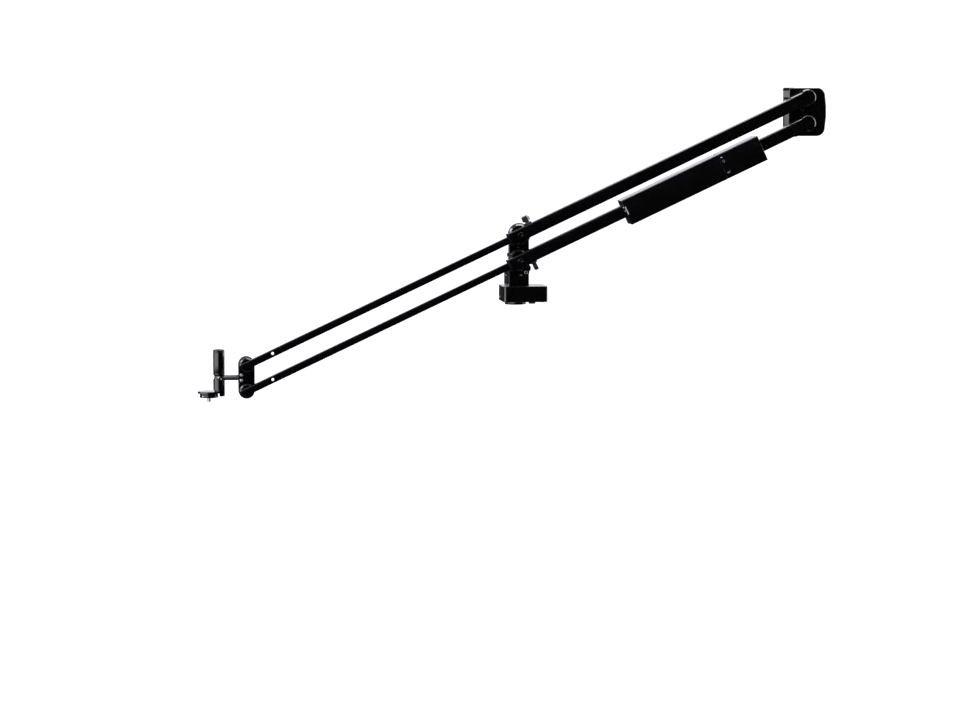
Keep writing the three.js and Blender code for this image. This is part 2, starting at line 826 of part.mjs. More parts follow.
function makeFrontLink(link) {
  const half = linkWidth / 2;
  const rise = pivotSpacing / 2;
  const outline = new THREE.Shape();
  outline.absarc(0, rise, half, 0, Math.PI);
  outline.absarc(0, -rise, half, Math.PI, 2 * Math.PI);
  const front = -linkFaceOffset;
  const back = front + linkThickness;
  const middle = (front + back) / 2;
  let plate = acrossY(outline, front, back, linkEdge, roundSides / 4);
  const shankEnd = front + frontShankLength + clearance;
  for (const z of Object.values(pivotRises))
    plate = plate.subtract(thinBar(frontShankRadius + clearance, front - overrun, shankEnd, "y", 0, z));
  const eyelet = thinBar(linkEyeletRadius, front - overrun, back + overrun, "y", linkEyeletX, linkEyeletRise);
  const rodSeat = rodInLink + clearance - half;
  const rodBore = bar(rodRadius + clearance, -half - overrun, rodSeat, "x", middle, 0);
  plate = plate.subtract(eyelet).subtract(rodBore);
  const headFront = front - clampHeadProud;
  const headBack = headFront + clampHeadHeight;
  const shankTip = headBack + clampShankLength;
  const socketEnd = headFront + clampHeadHeight / 2;
  for (const side of [1, -1]) {
    const z = (side * clampScrewSpacing) / 2;
    plate = plate
      .subtract(
        thinBar(clampHeadRadius + clearance, front - overrun, headBack + clearance, "y", -clampScrewX, z),
      )
      .subtract(
        thinBar(clampShankRadius + clearance, front, shankTip + clearance, "y", -clampScrewX, z),
      );
  }
  add(link, "front_link_plate", plate, blackAnodised);

  const pin = { radius: frontPinRadius, depth: frontPinDepth - clearance };
  const reach = armOffset - frontHalfWidth;
  for (const [name, z] of Object.entries(pivotRises)) {
    const made = linkPin(
      0,
      z,
      reach,
      pin,
      frontFlangeRadius,
      frontFlangeBevel,
      frontShankRadius,
      frontShankLength,
    );
    add(link, name + "_front_pin", made, blackAnodised);
  }
  for (const [name, side] of [
    ["upper_clamp_screw", 1],
    ["lower_clamp_screw", -1],
  ]) {
    const z = (side * clampScrewSpacing) / 2;
    const screw = thinBar(clampHeadRadius, headFront, headBack, "y", -clampScrewX, z)
      .add(thinBar(clampShankRadius, headBack - clampHeadProud, shankTip, "y", -clampScrewX, z))
      .subtract(bar(hexSocketRadius, headFront - overrun, socketEnd, "y", -clampScrewX, z, hexSides));
    add(link, name, screw, satinSteel);
  }
  const rodEnd = -handleReach - rodPastHandle;
  const rod = bar(rodRadius, rodEnd, rodSeat - clearance, "x", middle, 0);
  add(link, "handle_rod", rod, satinSteel);
  return middle;
}

// Handle: a waisted body with a grip sleeve above, a domed cap and the screw that holds the rod

function makeHandle(handle) {
  const bodyEdge = gripRadius - gripEdge;
  const gripFoot = waistTop + clearance;
  const body = turned(
    [
      [0, -handleDrop],
      [bodyEdge, -handleDrop],
      [gripRadius, gripEdge - handleDrop],
      [gripRadius, -waistBottom],
      [waistRadius, waistRise],
      [gripRadius, waistTop],
      [gripBoreRadius, waistTop],
      [gripBoreRadius, spigotTop],
      [0, spigotTop],
    ],
    "z",
  );
  const notchTop = collarHeight - flangeTopDrop;
  const notch = block(
    -gripRadius - overrun,
    legStart,
    -gripRadius - overrun,
    gripRadius + overrun,
    -handleDrop - overrun,
    notchTop,
  );
  const rodEnd = -rodPastHandle - clearance;
  const screwSeat = -gripRadius + gripScrewRecess;
  const shankEnd = screwSeat + gripScrewShank;
  const cut = body
    .subtract(notch)
    .subtract(bar(rodRadius + clearance, rodEnd, gripRadius + overrun, "x"))
    .subtract(thinBar(gripScrewRadius + clearance, -gripRadius - overrun, screwSeat, "y", 0, 0))
    .subtract(thinBar(gripScrewRadius / 2 + clearance, -gripRadius, -rodRadius, "y", 0, 0));
  add(handle, "handle_body", cut, blackAnodised);

  const headBack = screwSeat - clearance;
  const headFront = headBack - gripScrewHead;
  const socketEnd = headBack - gripScrewHead / 2;
  const screw = thinBar(gripScrewRadius, headFront, headBack, "y", 0, 0)
    .add(thinBar(gripScrewRadius / 2, socketEnd, shankEnd, "y", 0, 0))
    .subtract(bar(hexSocketRadius, headFront - overrun, socketEnd, "y", 0, 0, hexSides));
  add(handle, "rod_lock_screw", screw, satinSteel);

  const bore = gripBoreRadius + clearance;
  const gripTop = handleRise - capHeight;
  const grip = turned(
    [
      [bore, gripFoot],
      [gripRadius, gripFoot],
      [gripRadius, gripTop - clearance],
      [bore, gripTop - clearance],
      [bore, gripFoot],
    ],
    "z",
  );
  add(handle, "upper_grip", grip, blackAnodised);

  const cap = turned(
    [
      [0, spigotTop + clearance],
      [gripBoreRadius, spigotTop + clearance],
      [gripBoreRadius, gripTop],
      [gripRadius, gripTop],
      [gripRadius, gripTop + capEdgeHeight],
      [capInnerRadius, handleRise - capDome],
      [capInnerRadius / 2, handleRise],
      [0, handleRise],
    ],
    "z",
  );
  add(handle, "grip_cap", cap, blackAnodised);

  const flangeTop = -flangeTopDrop;
  const recess = flangeTop - flangeThickness + ringSpindleHeight + clearance;
  const flangeSide = legStart - clearance;
  const flange = bar(flangeRadius, flangeTop - flangeThickness, flangeTop, "z", -flangeSetback)
    .add(bar(collarRadius, flangeTop - flangeThickness / 2, notchTop - clearance, "z"))
    .subtract(
      block(flangeSide, flangeRadius, -flangeRadius, flangeRadius, -handleDrop, waistTop),
    )
    .subtract(
      bar(ringSpindleRadius + clearance, -handleDrop, recess, "z", -flangeSetback),
    );
  add(handle, "mount_flange", flange, blackAnodised);
}

// Camera ring: it turns under the flange and carries the camera stud

function makeCameraRing(ring) {
  const top = -flangeTopDrop - flangeThickness - clearance;
  const bottom = top - ringHeight;
  const studTop = bottom + studInRing;
  const bore = studRadius + clearance;
  const body = turned(
    [
      [bore, bottom],
      [ringRadius - ringEdge, bottom],
      [ringRadius, bottom + ringEdge],
      [ringRadius, top - ringGrooveTop - 2 * ringGrooveWidth],
      [ringRadius - ringGroove, top - ringGrooveTop - ringGrooveWidth],
      [ringRadius - ringGroove, top - ringGrooveTop],
      [ringRadius, top - ringGrooveTop],
      [ringRadius, top - ringEdge],
      [ringRadius - ringEdge, top],
      [ringSpindleRadius, top],
      [ringSpindleRadius, top + ringSpindleHeight],
      [0, top + ringSpindleHeight],
      [0, studTop + clearance],
      [bore, studTop + clearance],
      [bore, bottom],
    ],
    "z",
  );
  add(ring, "camera_ring", body, blackAnodised);
  const stud = turned(
    [
      [0, bottom - studReach],
      [studRadius - ringEdge, bottom - studReach],
      [studRadius, bottom - studReach + ringEdge],
      [studRadius, studTop],
      [0, studTop],
    ],
    "z",
    smallSides,
  );
  add(ring, "camera_stud", stud, satinSteel);
}

// Rear link: a hollow housing with two pin bosses, its back cover and the pins

function housingOutline(inset) {
  const [front, rear] = [inset - housingFront, housingRear - inset];
  const half = housingHeight / 2 - inset;
  const corner = Math.max(housingRearCorner - inset, clearance);
  const nose = Math.max(housingFrontCorner - inset, clearance);
  const side = rear - housingBulge;
  const shape = new THREE.Shape();
  shape.moveTo(front, nose - half);
  shape.absarc(front + nose, nose - half, nose, Math.PI, 1.5 * Math.PI);
  shape.absarc(side - corner, corner - half, corner, 1.5 * Math.PI, 2 * Math.PI);
  shape.quadraticCurveTo(rear + housingBulge, 0, side, half - corner);
  shape.absarc(side - corner, half - corner, corner, 0, Math.PI / 2);
  shape.absarc(front + nose, half - nose, nose, Math.PI / 2, Math.PI);
  shape.closePath();
  return shape;
}

function makeRearLink(link) {
  const front = -linkFaceOffset;
  const back = front + housingDepth;
  const shift = [0, 0, -housingDrop];
  const steps = cornerSteps + 1;
  const floor = front + housingWall;
  const shankEnd = front + rearShankLength + clearance;
  let hollow = acrossY(housingOutline(housingWall), floor, back + overrun, 0, steps).translate(shift);
  const bossEnd = floor + bossLength;
  for (const z of Object.values(pivotRises))
    hollow = hollow.subtract(bar(bossRadius, floor - overrun, bossEnd, "y", 0, z));
  let housing = acrossY(housingOutline(0), front, back, housingEdge, steps).translate(shift).subtract(hollow);
  for (const z of Object.values(pivotRises))
    housing = housing.subtract(thinBar(rearShankRadius + clearance, front - overrun, shankEnd, "y", 0, z));
  add(link, "rear_housing", housing, blackAnodised);

  const coverFrom = back - housingCoverInset - housingCoverThickness;
  const cover = acrossY(
    housingOutline(housingWall + clearance),
    coverFrom,
    back - housingCoverInset,
    0,
    steps,
  ).translate(shift);
  let studded = cover;
  for (const z of Object.values(pivotRises))
    studded = studded.add(thinBar(bossRadius / 2, bossEnd + clearance, coverFrom + overrun, "y", 0, z));
  add(link, "rear_cover", studded, blackPlastic);

  const pin = { radius: rearPinRadius, depth: rearPinDepth - clearance };
  const reach = armOffset - rearTubeWidth / 2;
  for (const [name, z] of Object.entries(pivotRises)) {
    const made = linkPin(0, z, reach, pin, rearFlangeRadius, plateEdge, rearShankRadius, rearShankLength);
    add(link, name + "_rear_pin", made, satinSteel);
  }
}

// Counterweight: two shells on the lower rear tube, with end plates and steel slabs inside

function makeCounterweight(parent) {
  const end = rearReach - weightSetback;
  const weightStart = end - weightLength;
  const seam = weightStart + weightLength * weightSeamShare;
  const outer = roundedRectangle(weightDepth, weightHeight, weightCorner);
  const innerDepth = weightDepth - 2 * weightWall;
  const innerHeight = weightHeight - 2 * weightWall;
  const innerCorner = Math.max(weightCorner - weightWall, clearance);
  const inner = roundedRectangle(innerDepth, innerHeight, innerCorner);
  const shift = [0, 0, -weightDrop];
  const screwStation = weightStart + (seam - weightStart) * weightScrewShare;
  const tubeSide = rearTubeWidth / 2;
  const farFace = weightDepth / 2;
  const screwHole = thinBar(weightScrewRadius + clearance, tubeSide, farFace + overrun, "y", screwStation, 0);

  const spans = { front: [weightStart, seam - clearance], rear: [seam + clearance, end] };
  for (const [name, [from, to]] of Object.entries(spans)) {
    let shell = alongX(outer, from, to, plateEdge)
      .subtract(alongX(inner, from - overrun, to + overrun))
      .translate(shift);
    if (name === "front") shell = shell.subtract(screwHole);
    add(parent, name + "_weight_shell", shell, blackAnodised);
  }

  const plate = roundedRectangle(innerDepth - 2 * clearance, innerHeight - 2 * clearance, innerCorner);
  const passage = roundedRectangle(
    rearTubeWidth + 2 * clearance,
    rearTubeHeight + 2 * clearance,
    rearTubeCorner,
  );
  const plates = {
    front: weightStart + plateEdge,
    rear: end - plateEdge - endPlateThickness,
  };
  for (const [name, from] of Object.entries(plates)) {
    const to = from + endPlateThickness;
    const made = alongX(plate, from, to)
      .translate(shift)
      .subtract(alongX(passage, from - overrun, to + overrun));
    add(parent, name + "_weight_guide", made, blackPlastic);
  }

  const slabFrom = tubeSide + slabTubeGap;
  const slabTo = innerDepth / 2 - clearance;
  const slabSection = roundedRectangle(slabTo - slabFrom, innerHeight - 2 * clearance, innerCorner);
  const runs = {
    front: [plates.front + endPlateThickness + clearance, seam - clearance],
    rear: [seam + clearance, plates.rear - clearance],
  };
  for (const [name, [from, to]] of Object.entries(runs))
    for (const [place, side] of [
      ["near", -1],
      ["far", 1],
    ]) {
      const middle = (side * (slabFrom + slabTo)) / 2;
      let slab = alongX(slabSection, from, to).translate([0, middle, -weightDrop]);
      if (name === "front" && side > 0) slab = slab.subtract(screwHole);
      add(parent, name + "_" + place + "_weight", slab, bareSteel);
    }

  const knobFoot = farFace + clearance;
  const outline = lobedOutline(weightKnobRadius, weightKnobLobe, knobLobes, stepsPerLobe);
  const knob = acrossY(outline, knobFoot, knobFoot + weightKnobHeight, plateEdge)
    .add(thinBar(weightScrewRadius, tubeSide + clearance, knobFoot + plateEdge * 2, "y", 0, 0))
    .translate([screwStation, 0, 0]);
  add(parent, "weight_lock_knob", knob, blackPlastic);
}

// Assembly

const tilt = THREE.MathUtils.degToRad(tiltDegrees);
const [tiltCos, tiltSin] = [Math.cos(tilt), Math.sin(tilt)];
const linkMiddle = lowerPivotHeight + pivotSpacing / 2;

makeTripodMount();
makeBase();
makePanWheel();

const column = groupAt(crane, pivotOffset, 0, 0);
makeColumn(column);
makeTiltLock(column);

const arms = {
  lower: { height: lowerPivotHeight, side: -1, turn: lowerKeyTurnDegrees },
  upper: { height: upperPivotHeight, side: 1, turn: upperKeyTurnDegrees },
};
for (const [prefix, { height, side, turn }] of Object.entries(arms)) {
  makeAxleBearing(prefix + "_pivot_bearing", column, height);
  const arm = groupAt(column, 0, -armOffset, height, -tilt);
  const { nutFoot, tip } = makePivotHub(prefix + "_pivot_hub", arm);
  makeAxleNut(prefix + "_pivot_nut", arm, nutFoot, tip);
  makeRearTube(prefix, arm, side);
  makeRearEye(prefix, arm);
  makeClampKey(prefix + "_clamp_key", arm, side, THREE.MathUtils.degToRad(turn));
  makeFrontTube(prefix, arm);
  if (prefix === "lower") makeCounterweight(arm);
}

const frontLink = groupAt(column, -frontReach * tiltCos, 0, linkMiddle - frontReach * tiltSin);
const rodPlane = makeFrontLink(frontLink);
const handle = groupAt(frontLink, -handleReach, rodPlane, 0);
makeHandle(handle);
makeCameraRing(groupAt(handle, -flangeSetback, 0, 0));

const rearLink = groupAt(column, rearReach * tiltCos, 0, linkMiddle + rearReach * tiltSin);
makeRearLink(rearLink);

export default crane;
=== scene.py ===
"""Looks of the camera jib crane: refined skins, small fasteners, materials, studio and camera.

Everything is in metres in the CAD frame: +Z up, +X towards the counterweight, and the arms lie on
the -Y side. Places come from the CAD nodes' boxes and from the joints.
"""
import json
import math

import bmesh
import bpy
import numpy as np
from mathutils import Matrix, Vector


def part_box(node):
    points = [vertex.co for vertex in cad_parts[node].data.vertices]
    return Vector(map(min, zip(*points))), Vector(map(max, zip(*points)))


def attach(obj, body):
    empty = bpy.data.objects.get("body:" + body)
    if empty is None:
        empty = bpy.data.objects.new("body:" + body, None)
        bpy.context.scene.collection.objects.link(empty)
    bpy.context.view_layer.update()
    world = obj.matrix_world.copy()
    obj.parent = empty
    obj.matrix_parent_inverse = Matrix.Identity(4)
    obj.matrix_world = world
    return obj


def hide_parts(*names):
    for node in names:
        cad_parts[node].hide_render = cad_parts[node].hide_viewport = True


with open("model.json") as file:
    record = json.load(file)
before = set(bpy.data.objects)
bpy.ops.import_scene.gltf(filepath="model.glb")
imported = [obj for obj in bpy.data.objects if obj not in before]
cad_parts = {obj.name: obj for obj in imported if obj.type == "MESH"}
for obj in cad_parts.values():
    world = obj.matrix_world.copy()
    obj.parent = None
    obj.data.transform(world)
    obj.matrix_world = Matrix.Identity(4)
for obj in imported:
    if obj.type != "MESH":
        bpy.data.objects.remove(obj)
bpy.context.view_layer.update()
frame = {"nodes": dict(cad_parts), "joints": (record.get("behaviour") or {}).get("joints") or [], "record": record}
NODES = frame["nodes"]
BODIES = frame["record"]["behaviour"]["bodies"]
JOINTS = {joint["name"]: joint for joint in frame["joints"]}
SLOT_OF = {row["node"]: row["material_slot"] for row in frame["record"]["subparts"]}
BODY_OF = {node: body for body, nodes in BODIES.items() for node in nodes}

MM = 0.001
MICRON = 0.000001
ALONG = np.array([1.0, 0.0, 0.0])
ACROSS = np.array([0.0, 1.0, 0.0])
UP = np.array([0.0, 0.0, 1.0])
NEAR = -ACROSS


def joint_place(name):
    """The point of a joint, as an array."""
    return np.array(JOINTS[name]["pos_m"], float)


def near_face(node):
    """The Y of a node's face on the camera side, in millimetres."""
    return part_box(node)[0].y / MM


def far_face(node):
    """The Y of a node's face on the far side, in millimetres."""
    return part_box(node)[1].y / MM


def left_face(node):
    """The X of a node's left face, in millimetres."""
    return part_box(node)[0].x / MM


def low_face(node):
    """The Z of a node's underside, in millimetres."""
    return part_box(node)[0].z / MM


def top_face(node):
    """The Z of a node's top, in millimetres."""
    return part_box(node)[1].z / MM


def middle(node):
    """The middle of a node's box, as an array in metres."""
    low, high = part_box(node)
    return (np.array(low) + np.array(high)) / 2


ARM = np.array(JOINTS["arm_extension"]["axis"], float)
ARM_UP = np.array([-ARM[2], 0.0, ARM[0]])
LOWER_PIVOT = joint_place("tilt")
UPPER_PIVOT = joint_place("upper_arm_tilt")
REAR_PIVOT = joint_place("rear_link_pivot")
FRONT_PIVOT = joint_place("front_link_pivot")
TILT = math.atan2(ARM[2], ARM[0])


def beside(pivot, along, up, y):
    """A point given in millimetres: along and up from a pivot, and its own Y."""
    return np.array([pivot[0] / MM + along, y, pivot[2] / MM + up]) * MM


def on_arm(pivot, along, up, y):
    """The same with along and up measured on the tilted arm."""
    flat = along * ARM + up * ARM_UP
    return beside(pivot, flat[0], flat[2], y)


def new_object(name, data):
    """A new object, linked into the scene."""
    thing = bpy.data.objects.new(name, data)
    bpy.context.scene.collection.objects.link(thing)
    return thing


# Camera

CAMERA_YAW = math.radians(7.13)
CAMERA_PITCH = math.radians(5.17)
CAMERA_DISTANCE = 7.081
CAMERA_TARGET = Vector((-0.0895, -0.040, -0.1286))
CAMERA_LENS = 112.5


def make_camera():
    """A long lens that looks a little to the right and down, as in the photograph."""
    data = bpy.data.cameras.new("camera")
    data.sensor_width = 36.0
    data.lens = CAMERA_LENS
    data.clip_start = 0.1
    data.clip_end = 400.0
    camera = new_object("camera", data)
    across = math.cos(CAMERA_PITCH)
    forward = Vector(
        (math.sin(CAMERA_YAW) * across, math.cos(CAMERA_YAW) * across, -math.sin(CAMERA_PITCH))
    )
    camera.location = CAMERA_TARGET - forward * CAMERA_DISTANCE
    camera.rotation_euler = (math.pi / 2 - CAMERA_PITCH, 0.0, -CAMERA_YAW)
    bpy.context.scene.camera = camera


# Studio

FLOOR_HEIGHT = -0.83
FLOOR_REACH = 60.0
DARK_SIDE = (0.669, -0.743, 0.0)
DARK_EDGE = (0.5, 0.66)
LEFT_SIDE = (-0.866, -0.5, 0.0)
LEFT_EDGE = (0.6, 0.88)
LEFT_FOOT = (-0.19, -0.12)
LEFT_GAP = (-0.755, 0.656, 0.0)
GAP_EDGE = (0.855, 0.885)
FLOOR_EDGE = (-0.11, -0.075)
RIGHT_LIGHT = (0.97, 0.22, 0.1)
RIGHT_EDGE = (0.88, 0.94)
WALL_FOOT = (-0.06, -0.01)
WALL_TOP = (0.04, 0.13)
CEILING_EDGE = (0.5, 0.8)
WORLD_LOW = 0.034
WORLD_HORIZON = 0.7
WORLD_WALL = 1.6
WORLD_DARK = 0.002
WORLD_LEFT = 4.2
WORLD_RIGHT = 3.5
WORLD_TOP = 0.8
WORLD_SEEN = 1.3
WALL_TINT = (0.85, 0.87, 1.0)
SKYLIGHT_POWER = 1.6
SKYLIGHT_ANGLE = 120


def map_value(tree, value, start, end, low=0.0, high=1.0, smooth=True):
    """A value carried from start..end to low..high, with flat ends."""
    node = tree.nodes.new("ShaderNodeMapRange")
    node.interpolation_type = "SMOOTHSTEP" if smooth else "LINEAR"
    node.inputs["From Min"].default_value = start
    node.inputs["From Max"].default_value = end
    node.inputs["To Min"].default_value = low
    node.inputs["To Max"].default_value = high
    tree.links.new(value, node.inputs["Value"])
    return node.outputs["Result"]


def blend_value(tree, share, low, high):
    """A mix of two values or sockets by a share."""
    node = tree.nodes.new("ShaderNodeMix")
    node.data_type = "FLOAT"
    tree.links.new(share, node.inputs["Factor"])
    for side, value in (("A", low), ("B", high)):
        if isinstance(value, float):
            node.inputs[side].default_value = value
        else:
            tree.links.new(value, node.inputs[side])
    return node.outputs["Result"]


def combine(tree, operation, first, second):
    """The sum or the product of two values."""
    node = tree.nodes.new("ShaderNodeMath")
    node.operation = operation
    tree.links.new(first, node.inputs[0])
    tree.links.new(second, node.inputs[1])
    return node.outputs["Value"]


def aimed(tree, place, direction):
    """How far a direction of view lies along a given one."""
    node = tree.nodes.new("ShaderNodeVectorMath")
    node.operation = "DOT_PRODUCT"
    node.inputs[1].default_value = direction
    tree.links.new(place, node.inputs[0])
    return node.outputs["Value"]


def level_direction(tree, place):
    """The direction of view laid flat, at unit length."""
    flat = tree.nodes.new("ShaderNodeVectorMath")
    flat.operation = "MULTIPLY"
    flat.inputs[1].default_value = (1, 1, 0)
    tree.links.new(place, flat.inputs[0])
    unit = tree.nodes.new("ShaderNodeVectorMath")
    unit.operation = "NORMALIZE"
    tree.links.new(flat.outputs["Vector"], unit.inputs[0])
    return unit.outputs["Vector"]


def make_world():
    """A studio as a glossy black thing sees it.

    The wall behind is grey at the horizon and cool white above. The floor, a gap at the left and
    the side to the front and right are nearly black, so that faces turned to the camera stay
    black. A tall light stands at the left, a small one at the right, and the ceiling is grey.
    Each pair named an edge, a foot or a top says where one of them begins and where it is full.
    """
    world = bpy.data.worlds.new("studio")
    bpy.context.scene.world = world
    world.use_nodes = True
    tree = world.node_tree
    tree.nodes.clear()
    coordinates = tree.nodes.new("ShaderNodeTexCoord")
    place = coordinates.outputs["Generated"]
    height = aimed(tree, place, (0, 0, 1))
    level = level_direction(tree, place)
    horizon = map_value(tree, height, *WALL_FOOT, WORLD_LOW, WORLD_HORIZON)
    white = map_value(tree, height, *WALL_TOP)
    shade = blend_value(tree, white, horizon, WORLD_WALL)
    front = map_value(tree, aimed(tree, level, DARK_SIDE), *DARK_EDGE)
    shade = blend_value(tree, front, shade, WORLD_DARK)
    near_floor = map_value(tree, height, *FLOOR_EDGE)
    shade = blend_value(tree, near_floor, WORLD_DARK, shade)
    low = map_value(tree, height, *LEFT_FOOT)
    left = map_value(tree, aimed(tree, level, LEFT_SIDE), *LEFT_EDGE)
    lit = combine(tree, "MULTIPLY", low, left)
    shade = blend_value(tree, lit, shade, WORLD_LEFT)
    gap = map_value(tree, aimed(tree, level, LEFT_GAP), *GAP_EDGE)
    shade = blend_value(tree, gap, shade, WORLD_DARK)
    ceiling = map_value(tree, height, *CEILING_EDGE)
    shade = blend_value(tree, ceiling, shade, WORLD_TOP)
    right = map_value(tree, aimed(tree, place, RIGHT_LIGHT), *RIGHT_EDGE)
    shade = blend_value(tree, right, shade, WORLD_RIGHT)
    rays = tree.nodes.new("ShaderNodeLightPath")
    seen = blend_value(tree, rays.outputs["Is Camera Ray"], shade, WORLD_SEEN)
    back = tree.nodes.new("ShaderNodeBackground")
    tree.links.new(blend_colours(tree, white, (1, 1, 1), WALL_TINT), back.inputs["Color"])
    tree.links.new(seen, back.inputs["Strength"])
    out = tree.nodes.new("ShaderNodeOutputWorld")
    tree.links.new(back.outputs["Background"], out.inputs["Surface"])


def make_softbox(name, place, aim, width, height, power):
    """A rectangular lamp at a place, turned to a point."""
    data = bpy.data.lights.new(name, "AREA")
    data.shape = "RECTANGLE"
    data.size = width
    data.size_y = height
    data.energy = power
    lamp = new_object(name, data)
    lamp.location = place
    lamp.rotation_euler = (Vector(aim) - Vector(place)).to_track_quat("-Z", "Y").to_euler()


def make_skylight():
    """A wide soft light from straight above that whitens the floor and isn't mirrored."""
    data = bpy.data.lights.new("skylight", "SUN")
    data.energy = SKYLIGHT_POWER
    data.angle = math.radians(SKYLIGHT_ANGLE)
    new_object("skylight", data).visible_glossy = False


def make_floor():
    """A wide pale round floor well below the crane, which glossy faces don't mirror."""
    turns = np.linspace(0, 2 * math.pi, 65)[:-1]
    ring = np.stack([np.cos(turns), np.sin(turns), np.zeros_like(turns)], 1) * FLOOR_REACH
    ring[:, 2] = FLOOR_HEIGHT
    mesh = bpy.data.meshes.new("floor")
    mesh.from_pydata(ring.tolist(), [], [list(range(len(ring)))])
    floor = new_object("floor", mesh)
    mesh.materials.append(floor_paint())
    floor.visible_glossy = False


def make_studio():
    """World, floor, skylight and two soft lamps: left and overhead."""
    bpy.context.scene.view_settings.view_transform = "Standard"
    make_world()
    make_floor()
    make_softbox("left_softbox", (-4.4, -0.5, 2.7), aim=(0, 0, 0.1), width=2.6, height=2.0, power=150)
    make_softbox("top_softbox", (0.45, 0.0, 2.7), aim=(0.45, 0, 0), width=2.2, height=1.5, power=95)
    make_skylight()


# Materials

def new_material(name):
    """A material with an empty tree and its surface shader and output, returned together."""
    material = bpy.data.materials.new(name)
    material.use_nodes = True
    tree = material.node_tree
    tree.nodes.clear()
    shader = tree.nodes.new("ShaderNodeBsdfPrincipled")
    out = tree.nodes.new("ShaderNodeOutputMaterial")
    tree.links.new(shader.outputs["BSDF"], out.inputs["Surface"])
    return material, tree, shader


def object_place(tree, turn=(0, 0, 0), stretch=(1, 1, 1)):
    """Object coordinates through a Mapping node: turned first, then stretched."""
    place = tree.nodes.new("ShaderNodeTexCoord")
    turned = tree.nodes.new("ShaderNodeMapping")
    turned.inputs["Rotation"].default_value = turn
    tree.links.new(place.outputs["Object"], turned.inputs["Vector"])
    scaled = tree.nodes.new("ShaderNodeMapping")
    scaled.inputs["Scale"].default_value = stretch
    tree.links.new(turned.outputs["Vector"], scaled.inputs["Vector"])
    return scaled.outputs["Vector"]


def noise(tree, place, scale, detail=2.0, rough=0.5):
    """A noise field on a place, as a value."""
    node = tree.nodes.new("ShaderNodeTexNoise")
    node.inputs["Scale"].default_value = scale
    node.inputs["Detail"].default_value = detail
    node.inputs["Roughness"].default_value = rough
    tree.links.new(place, node.inputs["Vector"])
    return node.outputs["Fac"]


def spread(tree, value, low, high, start=0.3, end=0.7):
    """A noise value stretched to low..high, in straight proportion."""
    return map_value(tree, value, start, end, low, high, smooth=False)


def blend_colours(tree, value, dark, light):
    """A colour between two colours. The first may also come from a socket."""
    node = tree.nodes.new("ShaderNodeMix")
    node.data_type = "RGBA"
    if isinstance(dark, tuple):
        node.inputs["A"].default_value = (*dark, 1.0)
    else:
        tree.links.new(dark, node.inputs["A"])
    node.inputs["B"].default_value = (*light, 1.0)
    tree.links.new(value, node.inputs["Factor"])
    return node.outputs["Result"]


def set_surface(tree, shader, colour, rough, gloss, height, depth):
    """Wires a surface's colour and roughness, sets its gloss, and bumps it by a depth in metres."""
    tree.links.new(colour, shader.inputs["Base Color"])
    tree.links.new(rough, shader.inputs["Roughness"])
    shader.inputs["Specular IOR Level"].default_value = gloss
    node = tree.nodes.new("ShaderNodeBump")
    node.inputs["Distance"].default_value = depth
    node.inputs["Strength"].default_value = 1.0
    tree.links.new(height, node.inputs["Height"])
    tree.links.new(node.outputs["Normal"], shader.inputs["Normal"])


def floor_paint():
    """Matt white paper with a faint mottle."""
    material, tree, shader = new_material("studio_floor")
    place = object_place(tree)
    tone = blend_colours(tree, noise(tree, place, 0.8), (0.86, 0.862, 0.868), (0.88, 0.882, 0.888))
    tree.links.new(tone, shader.inputs["Base Color"])
    shader.inputs["Roughness"].default_value = 0.9
    shader.inputs["Specular IOR Level"].default_value = 0.1
    return material


RUBBED_GREY = (0.12, 0.12, 0.125)


def anodised(name, dark, light, rough, wear, turn=(0, 0, 0), stretch=(1, 1, 1)):
    """Black anodised aluminium: a fine blasted or drawn grain, cloudy gloss and rubbed spots.

    The grain is a noise field that bumps the surface by a few micrometres. A wide noise field
    shifts the roughness, and where a third one passes its threshold the dye is rubbed thin.
    """
    material, tree, shader = new_material(name)
    plain = object_place(tree)
    fine = noise(tree, object_place(tree, turn, stretch), scale=1900.0, detail=3.0, rough=0.6)
    cloud = noise(tree, plain, scale=34.0, detail=3.0, rough=0.55)
    rubbed = noise(tree, plain, scale=210.0, detail=4.0, rough=0.65)
    worn = spread(tree, rubbed, 0.0, wear, 0.55, 0.72)
    tone = blend_colours(tree, worn, blend_colours(tree, cloud, dark, light), RUBBED_GREY)
    broad = spread(tree, cloud, rough - 0.05, rough + 0.05)
    roughness = combine(tree, "ADD", broad, spread(tree, fine, -0.03, 0.03))
    set_surface(tree, shader, tone, roughness, 0.45, fine, 5 * MICRON)
    return material


def machined_edge(name, rough):
    """The cut of a bevel: nearly as black as the rest, with fine cutter marks and grey scuffs."""
    material, tree, shader = new_material(name)
    plain = object_place(tree)
    along_arm = object_place(tree, turn=(0, TILT, 0), stretch=(1, 1, 8))
    cutter = noise(tree, along_arm, scale=420.0, detail=3.0, rough=0.6)
    scuffs = noise(tree, plain, scale=120.0, detail=4.0, rough=0.6)
    scuffed = spread(tree, scuffs, 0.0, 1.0, 0.45, 0.75)
    tone = blend_colours(tree, scuffed, (0.004, 0.004, 0.0042), (0.02, 0.02, 0.0205))
    roughness = spread(tree, cutter, rough - 0.04, rough + 0.08)
    set_surface(tree, shader, tone, roughness, 0.6, cutter, 3 * MICRON)
    return material


